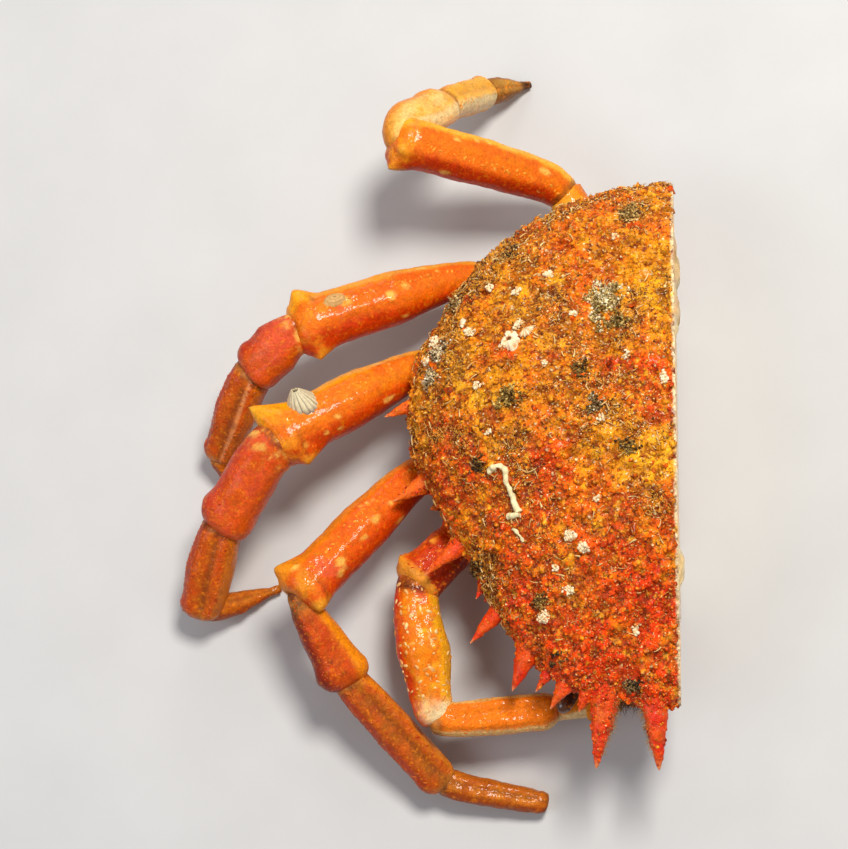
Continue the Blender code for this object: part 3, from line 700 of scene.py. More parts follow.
def buildTubercles():
    rng = np.random.default_rng(tubercles["seed"])
    spots, facing = domeSpots(tubercles["tries"], rng, 0.9)
    big = rng.random(len(spots)) ** 1.8

    def sized(name):  # between a measure's two ends, by how big each one is
        low, high = tubercles[name]
        return low + (high - low) * big

    kept = thinned(spots, sized("apart"))[:tubercles["most"]]
    spots, facing, big = spots[kept], facing[kept], big[kept]
    chief = np.zeros(len(spots))  # a few stand out as blunt spines
    tall = thinned(spots[:2500], np.full(2500, 4.6))
    chief[tall] = rng.uniform(0.4, 1.0, len(tall))
    low, high = tubercles["height"]
    height = low + (high - low) * big * rng.uniform(0.6, 1.1, len(big))
    radius, height = sized("radius") * (1.0 + 0.45 * chief), height * (1.0 + 0.9 * chief)
    lean = unit(facing + 0.28 * rng.normal(size=facing.shape) + np.array([0.0, -0.25, 0.1]))
    # rounded warts, and cones for the ones that stand out
    warts, faces = wart(((1.25, -0.3), (0.90, 0.40), (0.44, 0.88)), 1.0)
    cones, faces = wart(((1.35, -0.3), (0.70, 0.38), (0.28, 0.82)), 1.0)
    # each wart is painted from a darker rusty foot up to lighter tips: painted shade at the foot and painted
    # light on top, over the shell's own colours
    tipShare = np.array([0.0] * 6 + [0.55] * 6 + [1.0] * 7)
    crust = silt(spots)
    colour = mixed(shellColour(spots), shellPaint["silt"], 0.5 * crust)
    shadedRustFoot = mixed(colour, shellPaint["rust"], 0.6) * rng.uniform(0.6, 0.95, (len(spots), 1))
    front = smooth(40.0, -60.0, spots[:, 1])
    tips = mixed(colour, "#FFA81E", rng.uniform(0.0, 0.9, len(spots)) * (1.0 - 0.45 * front))
    tips = mixed(tips, "#E83400", 0.75 * (rng.random(len(spots)) < 0.06 + 0.42 * front))
    pale = rng.random(len(spots)) < 0.16 * paleShare(spots)
    tips = mixed(tips, "#FFE4A8", 0.8 * pale * (big < 0.25) * (chief == 0.0))
    # warts on the shell's lumps are painted lighter, as painted light, and those along the rim darker with
    # mud
    rise = 1.0 + 0.34 * np.clip(lumps(spots), -1.0, 1.0)[:, None] - 0.25 * margin(spots)[:, None]
    tips, shadedRustFoot = tips * rise * rng.uniform(0.92, 1.18, (len(spots), 1)), shadedRustFoot * rise
    made = Shape()
    scale = np.column_stack([radius * rng.uniform(0.8, 1.3, len(radius)),
                             radius * rng.uniform(0.55, 1.0, len(radius)), height])
    axes = framesFrom(lean, rng)
    for group, model in ((chief == 0.0, warts), (chief > 0.0, cones)):
        scattered(made, model, faces, (spots - 0.05 * facing)[group], axes[group], scale[group],
                  shadedRustFoot[group], tips[group], tipShare)
    # small granules on the horns and thorns
    for thornName, skin, outward in thornSkins:
        share = np.repeat(np.linspace(-0.25, 1.0, len(skin)), skin.shape[1])
        keep = ((share > -0.2) & (share < 0.93)) * (1.0 + 2.5 * smooth(0.45, 0.0, share))
        places, normals = surfaceSpots(skin.reshape(-1, 3), outward.reshape(-1, 3),
                                       gridFaces(*skin.shape[:2], closed=True), lookOf(thornName)["granules"],
                                       rng, keep)
        places = places[places[:, 0] < -0.6] if thornName.startswith("horn") else places
        normals = normals[:len(places)]
        size = rng.uniform(0.28, 0.6, len(places))
        colour = mixed("#CE2600", "#EC5A12", rng.random(len(places)))
        # each granule's top is painted 15 per cent lighter than its foot, as painted light
        scattered(made, warts, faces, places, framesFrom(unit(normals), rng),
                  np.column_stack([size, size, 0.7 * size]), colour, colour * 1.15, tipShare)
    made.piece("carapaceTubercles", shellChitin, "shell")


buildTubercles()

grit = {"count": 10200, "size": (0.16, 0.42), "seed": 12}


def pebble():
    # a small lump of twelve points
    golden = (1.0 + math.sqrt(5.0)) / 2.0
    corners = [(-1, golden, 0), (1, golden, 0), (-1, -golden, 0), (1, -golden, 0), (0, -1, golden),
               (0, 1, golden), (0, -1, -golden), (0, 1, -golden), (golden, 0, -1), (golden, 0, 1),
               (-golden, 0, -1), (-golden, 0, 1)]
    faces = [(0, 11, 5), (0, 5, 1), (0, 1, 7), (0, 7, 10), (0, 10, 11), (1, 5, 9), (5, 11, 4), (11, 10, 2),
             (10, 7, 6), (7, 1, 8), (3, 9, 4), (3, 4, 2), (3, 2, 6), (3, 6, 8), (3, 8, 9), (4, 9, 5),
             (2, 4, 11), (6, 2, 10), (8, 6, 7), (9, 8, 1)]
    return unit(np.array(corners, float)), [np.array(faces)]


def grain():
    # the smallest lump: eight faces
    corners = np.array([(1, 0, 0), (0, 1, 0), (-1, 0, 0), (0, -1, 0), (0, 0, 1), (0, 0, -1)], float)
    faces = [(0, 1, 4), (1, 2, 4), (2, 3, 4), (3, 0, 4), (1, 0, 5), (2, 1, 5), (3, 2, 5), (0, 3, 5)]
    return corners, [np.array(faces)]


def buildGrit():
    rng = np.random.default_rng(grit["seed"])
    spots, facing = domeSpots(grit["count"], rng, 0.6, 0.06 + silt(shellPoints) ** 1.5)
    model, faces = grain()
    size = rng.uniform(*grit["size"], len(spots))
    kind = rng.random(len(spots))
    colours = sortedColours("#B26A1A", (kind < 0.16, "#5A3210"), (kind > 0.50, "#E8A030"),
                            (kind > 1.0 - 0.11 * paleShare(spots), "#FAE2AC"),
                            (kind * 2.8 < margin(spots), "#553010"))
    # grit on the shell's lumps is painted lighter, as painted light
    light = (1.0 + 0.2 * np.clip(lumps(spots), -1, 1))[:, None]
    colours = colours * rng.uniform(0.75, 1.15, (len(spots), 1)) * light
    scales = size[:, None] * rng.uniform(0.6, 1.25, (len(spots), 3))
    made = Shape()
    scattered(made, model, faces, spots + 0.25 * facing * size[:, None], framesFrom(facing, rng), scales,
              colours)
    made.piece("carapaceGrit", limeGrowth, "growth")


buildGrit()

setae = {
    "count": 7700, "length": (0.9, 2.6), "radius": (0.08, 0.15), "threads": 420, "seed": 13,
    "onHorn": 260, "inNotch": 420, "notch": ((-17.0, -9.5), (-62.5, -56.5), (35.5, 40.5)),
}


def buildSetae():
    rng = np.random.default_rng(setae["seed"])
    spots, facing = domeSpots(setae["count"], rng, 1.0, 0.15 + silt(shellPoints))
    lie = unit(np.cross(facing, rng.normal(size=facing.shape)))
    direction = unit(0.75 * facing + 0.8 * lie)
    curl = -0.45 * facing + 0.35 * unit(np.cross(facing, lie)) * rng.choice((-1.0, 1.0), (len(spots), 1))
    length = rng.uniform(*setae["length"], len(spots)) * (0.6 + 0.5 * silt(spots))
    kind = rng.random(len(spots))
    colours = sortedColours("#D0821C", (kind < 0.40, "#8E480C"), (kind > 0.64, "#F4BC4C"),
                            (kind > 1.0 - 0.10 * paleShare(spots), "#FFE9A8"),
                            (kind < 0.08 + 0.25 * margin(spots), "#5A2A0A"))
    made = Shape()
    strands(made, spots - 0.1 * facing, direction, curl, length,
            rng.uniform(*setae["radius"], len(spots)), colours)
    # longer threads that lie on the shell
    picked = rng.choice(np.flatnonzero(spots[:, 0] < -3.5), setae["threads"], replace=False)
    count, up = len(picked), facing[picked]
    along = unit(np.cross(up, rng.normal(size=(count, 3))))
    bend = -0.30 * up + 0.3 * np.cross(up, along) * rng.choice((-1.0, 1.0), (count, 1))
    tone = mixed("#BE7A2A", "#F8D892", rng.random(count))
    strands(made, spots[picked] + 0.5 * up, unit(along + 0.3 * up), bend,
            rng.uniform(1.2, 3.2, count), rng.uniform(0.18, 0.36, count), tone, steps=6)
    # bristles along the inner edges of the two horns and in the notch between them
    for thornName, skin, outward in thornSkins:
        if not thornName.startswith("horn"):
            continue
        inward = 1.0 if thornName == "hornOuter" else -1.0
        flat, out = skin.reshape(-1, 3), unit(outward.reshape(-1, 3))
        share = np.repeat(np.linspace(-0.25, 1.0, len(skin)), skin.shape[1])
        chosen = np.flatnonzero((out[:, 0] * inward > 0.55) & (share > 0.0) & (share < 0.85))
        chosen = rng.choice(chosen, setae["onHorn"])
        reach = (1.0 - share[chosen]) * 2.2 + 0.7
        way = unit(out[chosen] + np.array([0.0, -0.55, 0.0]) + 0.25 * rng.normal(size=(len(chosen), 3)))
        tone = mixed("#C99A58", "#5A3A1C", rng.random(len(chosen)) * (1.1 - share[chosen]))
        strands(made, flat[chosen], way, 0.2 * rng.normal(size=way.shape),
                reach * rng.uniform(0.5, 1.1, len(chosen)), np.full(len(chosen), 0.07), tone)
    count = setae["inNotch"]
    notch = np.column_stack([rng.uniform(low, high, count) for low, high in setae["notch"]])
    way = unit(np.column_stack([rng.normal(0, 0.45, count), rng.uniform(-1.0, -0.3, count),
                                rng.uniform(-0.1, 0.5, count)]))
    tone = mixed("#2A1A10", "#6E5532", rng.random(count) ** 2)
    strands(made, notch, way, 0.25 * rng.normal(size=way.shape), rng.uniform(1.6, 4.2, count),
            np.full(count, 0.09), tone)
    made.piece("carapaceSetae", hairChitin, "shell")


buildSetae()


def dropOnShell(x, y):
    # the point of the rough shell above a place in plan, and its normal
    dome = calmGrid[:shell["domeRings"]]
    near = np.argmin((dome[..., 0] - x) ** 2 + (dome[..., 1] - y) ** 2)
    return shellPoints[near], shellFacing[near]


weeds = {
    # x, y, half width, half length, degrees, strands, palette from dark to pale
    "tufts": (
        (-19.3, 47.8, 4.6, 6.4, -20.0, 640, ("#745820", "#D4B870", "#FFF4D2")),
        (-16.0, 41.5, 3.0, 2.2, 10.0, 130, ("#4A3414", "#8E6C2C", "#DCC074")),
        (-46.3, 21.1, 3.6, 2.6, 25.0, 190, ("#5A3E12", "#A07C34", "#E0BE6C")),
        (-11.6, 75.6, 3.4, 2.4, 40.0, 170, ("#4A3010", "#987032", "#DCB86C")),
        (-26.2, 27.8, 2.2, 2.6, 0.0, 120, ("#4A3410", "#8E6A2C", "#CCA458")),
        (-22.6, 18.0, 1.8, 2.4, 10.0, 100, ("#3A2A14", "#8C6E3A", "#F6EAC8")),
        (-12.8, 6.1, 2.6, 1.8, -20.0, 120, ("#38240E", "#6E4E1E", "#BC9850")),
        (-66.0, 37.5, 3.2, 2.0, 60.0, 150, ("#5E4426", "#D8BE8A", "#FFF2D0")),
        (-69.0, 30.0, 3.0, 1.9, 70.0, 150, ("#543C22", "#CFB27C", "#FFEEC8")),
        (-58.0, -23.0, 2.8, 1.8, 50.0, 120, ("#442C10", "#886028", "#CCA45A")),
        (-13.0, -57.5, 2.4, 1.8, 0.0, 110, ("#2A1C10", "#5C4424", "#A08050")),
        (-62.0, 52.0, 3.2, 1.8, 50.0, 110, ("#4A2E10", "#8E6426", "#E2C488")),
        (-38.0, -34.0, 2.8, 1.8, 30.0, 100, ("#3A220C", "#7E5820", "#C89C50")),
        (-46.0, 66.0, 2.6, 1.6, 40.0, 100, ("#3A220C", "#84581E", "#D0A050")),
        (-55.0, 4.0, 2.4, 1.6, 70.0, 90, ("#331E0C", "#74501C", "#C09848")),
        (-34.0, -50.0, 2.2, 1.5, 20.0, 80, ("#2A1A0C", "#6A4A1C", "#B08840")),
    ),
    "seed": 14,
}


def buildWeeds():
    rng = np.random.default_rng(weeds["seed"])
    made = Shape()
    model, faces = pebble()
    for x, y, wide, long, angle, count, palette in weeds["tufts"]:
        dark, middle, pale = palette
        far, turn = np.sqrt(rng.random(2 * count)), rng.uniform(0.0, 2.0 * math.pi, 2 * count)
        # the outline is uneven, and lobes of the clump stand higher than others
        far = far * (1.0 + 0.35 * np.sin(3.0 * turn + x) + 0.2 * np.sin(7.0 * turn + y))
        plan = np.stack([wide * far * np.cos(turn), long * far * np.sin(turn)], -1)
        lean = math.radians(angle)
        plan = plan @ np.array([[math.cos(lean), math.sin(lean)], [-math.sin(lean), math.cos(lean)]])
        lump = lattice(np.column_stack([plan, np.full(len(plan), x)]), 2.0, 7)
        chosen = np.flatnonzero(lump > -0.45)[:count]
        plan, lump, far = plan[chosen], lump[chosen], far[chosen]
        roots = np.array([dropOnShell(x + dx, y + dy) for dx, dy in plan])
        spots, facing = roots[:, 0], roots[:, 1]
        way = unit(facing + 0.55 * rng.normal(size=facing.shape))
        high = np.clip(1.1 - 0.5 * far ** 2 + 0.5 * lump, 0.25, 1.6)
        # strands on the higher lobes are painted paler, as painted light on the clump's tops
        light = np.clip(0.35 + 0.45 * lump + 0.35 * rng.normal(size=len(far)), 0.0, 1.0)
        tone = mixed(mixed(dark, middle, 2.2 * light), pale, smooth(0.45, 0.95, light))
        strands(made, spots - 0.2 * facing, way, 0.5 * rng.normal(size=way.shape),
                (0.5 + 1.2 * high) * rng.uniform(0.6, 1.1, len(far)), rng.uniform(0.12, 0.24, len(far)), tone)
        heads = spots + way * ((0.3 + 1.1 * high) * rng.uniform(0.2, 1.0, len(far)))[:, None]
        size = rng.uniform(0.18, 0.5, len(far))
        scattered(made, model, faces, heads, framesFrom(facing, rng),
                  size[:, None] * rng.uniform(0.6, 1.2, (len(far), 3)),
                  tone * rng.uniform(0.7, 1.25, (len(far), 1)))
    made.piece("weedTufts", hairChitin, "growth")


buildWeeds()


def tubeAlong(made, path, radii, around, paint, seed, bump):
    # a closed, slightly lumpy tube through a short list of points
    path = np.array(path)
    fineT = np.linspace(0.0, len(path) - 1.0, 14 * (len(path) - 1) + 1)
    k = np.clip(fineT.astype(int), 0, len(path) - 2)
    t = (fineT - k)[:, None]
    before, after = path[np.maximum(k - 1, 0)], path[np.minimum(k + 2, len(path) - 1)]
    line = 0.5 * (2 * path[k] + (path[k + 1] - before) * t
                  + (2 * before - 5 * path[k] + 4 * path[k + 1] - after) * t ** 2
                  + (3 * path[k] - before - 3 * path[k + 1] + after) * t ** 3)
    thick = np.interp(fineT, np.arange(len(radii)), radii)
    ahead = unit(np.gradient(line, axis=0))
    side = unit(np.cross(ahead, (0.0, 0.0, 1.0)) + 1e-6)
    up = np.cross(side, ahead)
    turn = fullTurn(around)
    outward = side[:, None] * np.cos(turn)[:, None] + up[:, None] * np.sin(turn)[:, None]
    points = line[:, None] + outward * thick[:, None, None]
    points = points + outward * (bump * lattice(points, 0.9, seed))[..., None]
    allPoints = np.concatenate([points.reshape(-1, 3), line[:1], line[-1:]])
    shade = paint * (1.0 + 0.18 * lattice(allPoints, 1.4, seed + 1))[:, None]
    made.add(allPoints, tubeFaces(*points.shape[:2]), shade)


crusts = {
    # worm tubes lying on the shell: places in plan and thickness
    "tubes": (
        (((-52.3, 1.2), (-50.0, 2.6), (-47.6, 2.0), (-46.9, -2.2), (-45.4, -6.8), (-43.9, -10.3)), 0.75),
        (((-43.6, -10.6), (-45.0, -11.3), (-46.6, -11.0)), 0.75),
        (((-45.2, -14.5), (-44.0, -16.6), (-42.6, -18.4)), 0.4),
    ),
    # flakes of shell: x, y, length, width
    "flakes": ((-43.4, 42.0, 3.4, 1.6), (-47.6, 36.0, 2.4, 1.3), (-29.4, -17.4, 4.0, 2.6),
               (-25.6, -20.9, 3.0, 2.4), (-37.0, -38.5, 3.2, 2.8), (-30.0, -32.0, 2.8, 2.2),
               (-35.0, 57.0, 3.2, 2.0), (-44.0, 52.5, 2.8, 2.2), (-57.5, 42.0, 3.2, 2.4),
               (-52.0, 55.0, 2.6, 1.8), (-3.2, 24.6, 1.8, 3.6), (-67.5, 40.5, 2.6, 3.4),
               (-69.5, 34.5, 2.4, 2.2), (-20.5, 14.0, 2.2, 1.6), (-33.5, -25.5, 2.4, 1.2),
               (-28.0, 44.5, 2.2, 1.6), (-13.5, 31.5, 2.4, 1.4), (-16.5, 68.0, 2.6, 1.2),
               (-55.5, 25.5, 2.4, 1.8), (-36.0, 30.0, 2.0, 1.4), (-12.0, -43.0, 1.6, 2.2),
               (-22.0, -8.0, 2.4, 1.3), (-52.0, 12.0, 2.0, 1.5)),
    # broken barnacle rings: x, y, radius
    "rings": ((-45.6, 37.6, 2.2), (-29.2, -17.0, 1.2)),
    # fans of ribs, a broken plate each: x, y, radius, degrees
    "fans": ((-41.8, 41.0, 3.2, -60.0), (-60.5, 45.0, 2.2, 20.0)),
    "seed": 15,
}


def lowRing(made, seat, facing, radius):
    # a worn barnacle: a low ribbed wall round a hole, with a broken outline
    side = unit(np.cross(facing, (0.3, 1.0, 0.2)))
    over = np.cross(facing, side)
    count = 72
    turn = fullTurn(count)
    circle = np.stack([np.cos(turn), np.sin(turn), np.full(count, seat[1])], -1)
    ragged = 1.0 + 0.65 * lattice(circle, 0.6, 8) + 0.10 * np.abs(np.sin(8.5 * turn + 2.0 * np.sin(turn)))
    profile = ((1.15, -0.6), (1.05, 0.1), (0.85, 0.42), (0.62, 0.62), (0.44, 0.60), (0.30, 0.2), (0.15, 0.0))
    skin = []
    for share, height in profile:  # the outer rings follow the ragged outline
        broken = min(1.0, 1.4 * share - 0.2) if share > 0.5 else 0.0
        edge = mixed(np.ones(count), ragged, broken)[:, None]
        jag = 0.7 * lattice(circle * 2.0, 0.6, 11) * (height > 0.2)
        skin.append(seat + (side * circle[:, :1] + over * circle[:, 1:2]) * radius * share * edge
                    + facing * (0.5 * radius * height + jag)[:, None])
    skin = np.array(skin)
    tone = mixed("#FBE8C0", "#D89C5C", smooth(-0.2, 0.6, rough(skin, 0.9, 12)))
    tone[-2:] = linear("#A05A22")
    made.addTube(skin, [seat - facing, seat], tone, ("#A05A22", "#6A3414"))


def buildCrusts():
    rng = np.random.default_rng(crusts["seed"])
    made = Shape()
    for number, (route, thick) in enumerate(crusts["tubes"]):
        path = [dropOnShell(x, y)[0] + np.array([0.0, 0.0, 0.75 * thick + 0.5]) for x, y in route]
        radii = [thick * (1.25 if k in (0, len(path) - 1) else 1.0) for k in range(len(path))]
        tubeAlong(made, path, radii, 14, linear("#F0E0AC"), 70 + number, bump=0.38)
    model, faces = pebble()
    for x, y, long, wide in crusts["flakes"]:
        count = int(9.0 * long * wide)
        far, turn = np.sqrt(rng.random(count)), rng.uniform(0.0, 2.0 * math.pi, count)
        lean = rng.uniform(0.0, math.pi)
        cosine, sine = math.cos(lean), math.sin(lean)
        across, down = 0.5 * long * far * np.cos(turn), 0.5 * wide * far * np.sin(turn)
        roots = np.array([dropOnShell(x + a * cosine - b * sine, y + a * sine + b * cosine)
                          for a, b in zip(across, down)])
        size = rng.uniform(0.28, 0.62, (count, 1)) * rng.uniform(0.6, 1.3, (count, 3)) * (1.0, 1.0, 0.55)
        tone = mixed("#FFF0C8", "#E8A85A", rng.random(count) ** 2)
        scattered(made, model, faces, roots[:, 0] + roots[:, 1] * rng.uniform(0.2, 0.9, (count, 1)),
                  framesFrom(unit(roots[:, 1] + 0.4 * rng.normal(size=(count, 3))), rng), size, tone)
    for x, y, radius in crusts["rings"]:
        spot, facing = dropOnShell(x, y)
        lowRing(made, spot + 0.2 * facing, facing, radius)
    for x, y, radius, degrees in crusts["fans"]:
        spot, facing = dropOnShell(x, y)
        ribs = 11
        spread = np.radians(degrees + np.linspace(-62.0, 62.0, ribs))
        flat = np.stack([np.cos(spread), np.sin(spread), 0.0 * spread], -1)
        way = unit(flat - (flat @ facing)[:, None] * facing)
        reach = radius * rng.uniform(0.85, 1.1, ribs)
        axes = np.stack([way, np.cross(facing, way), np.tile(facing, (ribs, 1))], axis=1)
        size = np.column_stack([0.56 * reach, rng.uniform(0.3, 0.4, ribs), np.full(ribs, 0.34)])
        tone = mixed("#FFF0CC", "#E2B070", rng.random(ribs))
        scattered(made, model, faces, spot + way * 0.5 * reach[:, None] + 0.35 * facing, axes, size, tone)
    made.piece("wormTubesAndFlakes", limeGrowth, "growth")


buildCrusts()
print("carapace covered")


# the limbs

limbs = {
    # joints from the body outwards, half widths of each article near its start, middle and end
    "claw": {
        "joints": ((-27.0, -15.5, 12.3), (-56.5, -7.5, 15.0), (-76.0, -25.5, 21.0), (-69.9, -65.0, 19.0),
                   (-36.0, -61.5, 16.5), (-16.5, -58.0, 14.2)),
        "widths": ((6.0, 6.2, 5.8), (6.0, 7.0, 7.4), (6.2, 7.7, 5.4), (5.0, 5.4, 5.0), (3.0, 2.5, 1.1)),
    },
    "leg_1": {
        "joints": ((-36.0, 5.5, 12.5), (-72.5, 9.0, 17.0), (-108.3, -29.6, 31.0), (-94.7, -53.3, 20.0),
                   (-68.6, -81.5, 8.0), (-39.5, -87.0, 3.2)),
        "widths": ((6.0, 6.2, 5.8), (5.8, 7.5, 7.7), (4.4, 5.9, 7.0), (5.4, 5.9, 5.4), (4.0, 4.0, 3.3)),
    },
    "leg_2": {
        "joints": ((-37.0, 25.0, 12.5), (-71.0, 40.0, 17.0), (-115.1, 14.7, 33.0), (-132.1, -8.5, 22.0),
                   (-140.0, -31.6, 9.0), (-117.5, -23.4, 1.4)),
        "widths": ((6.0, 6.2, 5.6), (5.6, 8.0, 8.3), (7.2, 7.7, 7.6), (6.2, 6.9, 5.8), (3.8, 3.4, 1.3)),
    },
    "leg_3": {
        "joints": ((-28.5, 41.8, 12.3), (-56.0, 66.0, 17.5), (-108.8, 47.6, 33.0), (-123.1, 36.4, 26.0),
                   (-135.2, 15.0, 7.5), (-127.0, 4.0, 1.2)),
        "widths": ((6.0, 6.0, 5.2), (5.2, 7.9, 8.3), (5.8, 7.6, 6.8), (6.0, 6.2, 4.8), (3.6, 2.8, 1.1)),
    },
    "leg_4": {
        "joints": ((-14.0, 52.0, 12.0), (-32.0, 91.0, 16.5), (-79.5, 101.4, 41.0), (-66.0, 115.0, 30.0),
                   (-55.7, 124.7, 9.0), (-43.0, 129.0, 1.1)),
        "widths": ((5.8, 6.2, 5.4), (6.1, 6.9, 7.5), (5.6, 6.9, 6.0), (5.0, 5.0, 4.6), (3.9, 3.4, 1.2)),
    },
}
articles = {
    # profile: (share of length, share of width)
    # rim: how far the open end runs on at its sides, falls back on top, and slants round the bend, in widths
    # ridges: (degrees round from the outer side over the top, height in widths, spread in degrees)
    # bulges: (share of length, degrees, height in widths, spread in length, spread in degrees)
    "base": {"profile": ((0.0, 0.6), (0.1, 0.95), (0.3, 1.0), (0.7, 1.0), (0.9, 1.08), (1.0, 0.95)),
             "rim": (0.0, 0.0, 0.1), "ridges": (), "bulges": (), "square": 2.2, "ringGap": 1.1},
    "merus": {"profile": ((0.0, 0.68), (0.05, 0.9), (0.14, 1.0), (0.4, 1.0), (0.78, 0.96), (0.86, 0.96),
                          (0.92, 1.02), (0.96, 1.02), (0.985, 0.94), (1.0, 0.80)),
              "rim": (0.12, 0.0, 0.10), "ridges": ((62.0, 0.05, 13.0), (98.0, 0.04, 9.0)),
              "bulges": ((0.95, 92.0, -0.06, 0.04, 24.0),), "square": 2.3},
    "carpus": {"profile": ((0.0, 0.94), (0.05, 1.0), (0.15, 1.02), (0.35, 1.01), (0.7, 1.01), (0.86, 1.05),
                           (0.94, 1.0), (0.98, 0.88), (1.0, 0.72)),
               "rim": (0.05, 0.0, 0.06), "ridges": ((74.0, 0.07, 15.0), (108.0, -0.05, 11.0)),
               "bulges": ((0.84, 20.0, 0.10, 0.10, 38.0), (0.16, 168.0, 0.06, 0.08, 34.0),
                          (0.88, 150.0, 0.07, 0.07, 34.0)), "square": 2.3},
    "propodus": {"profile": ((0.0, 0.86), (0.05, 0.95), (0.14, 0.99), (0.5, 1.0), (0.86, 1.06), (0.94, 1.0),
                             (0.98, 0.88), (1.0, 0.70)),
                 "rim": (0.04, 0.0, 0.05),
                 "ridges": ((66.0, 0.08, 13.0), (96.0, -0.12, 9.0), (124.0, 0.07, 12.0)),
                 "bulges": ((0.90, 25.0, 0.10, 0.06, 34.0),), "square": 2.5},
    "dactyl": {"profile": ((0.0, 0.84), (0.06, 1.0), (0.2, 1.04), (0.5, 1.0), (0.85, 1.05), (0.96, 0.98),
                           (1.0, 0.8)),
               "rim": (0.0, 0.0, 0.0),
               "ridges": ((70.0, 0.06, 12.0), (98.0, -0.09, 9.0), (128.0, 0.05, 11.0)),
               "bulges": (), "square": 2.3, "grain": 0.32},
}
elbows = {
    # how far each article turns out of the one before it, and how deep inside that one it starts, in mm
    "claw": {"merus": (0.2, 0.0), "carpus": (0.35, 1.5), "propodus": (0.1, 1.0), "dactyl": (0.1, 0.5)},
    "leg_1": {"merus": (0.2, 0.0), "carpus": (0.25, 1.5), "propodus": (0.3, 2.0), "dactyl": (0.3, 1.5)},
    "leg_2": {"merus": (0.2, 0.0), "carpus": (0.6, 2.5), "propodus": (0.5, 2.0), "dactyl": (0.2, 2.0)},
    "leg_3": {"merus": (0.2, 0.0), "carpus": (0.7, 2.5), "propodus": (0.5, 2.0), "dactyl": (0.4, 1.5)},
    "leg_4": {"merus": (0.6, 2.0), "carpus": (0.95, 4.0), "propodus": (0.3, 1.5), "dactyl": (0.3, 1.5)},
}
spurs = {
    # teeth drawn out of an article's skin: share of length, degrees, length, reach, forward lean, bluntness
    "claw_merus": ((0.93, 24.0, 1.6, 3.0, 0.2, 0.7), (0.62, 60.0, 1.8, 2.4, 0.4, 0.3),
                   (0.35, 50.0, 1.6, 2.2, 0.4, 0.3)),
    "leg_1_merus": ((0.955, 14.0, 2.6, 5.0, 0.7, 0.9), (0.965, 158.0, 2.2, 5.0, 1.3, 0.95)),
    "leg_2_merus": ((0.975, 18.0, 5.0, 6.2, 0.9, 0.1), (0.90, 172.0, 3.0, 5.4, 0.2, 0.6)),
    "leg_3_merus": ((0.955, 16.0, 2.7, 4.2, 0.2, 0.9), (0.935, 176.0, 2.8, 5.4, 0.3, 0.4)),
    "leg_4_merus": ((0.965, 8.0, 2.6, 4.6, 0.7, 0.4), (0.975, 60.0, 1.6, 3.0, 1.2, 0.6)),
}
legPaint = paintBox(spot="#FBC458", brown="#8E4408", tan="#CE8430", membrane="#5E3010", pink="#E85838",
                    horn="#2A160A", cream="#F6E2AE")


def wrapped(degrees, middle, spread):
    return np.exp(-(((degrees - middle + 180.0) % 360.0 - 180.0) / spread) ** 2)


def widthAlong(widths, profile, share):
    first, second, third = widths
    plain = np.interp(share, (0.0, 0.15, 0.5, 0.85, 1.0), (first, first, second, third, third))
    places, factors = np.array(profile).T
    # a little smoothing keeps the profile's corners round
    nearby = [np.clip(share + step, 0.0, 1.0) for step in (-0.012, 0.0, 0.012)]
    return plain * sum(np.interp(near, places, factors) for near in nearby) / 3.0


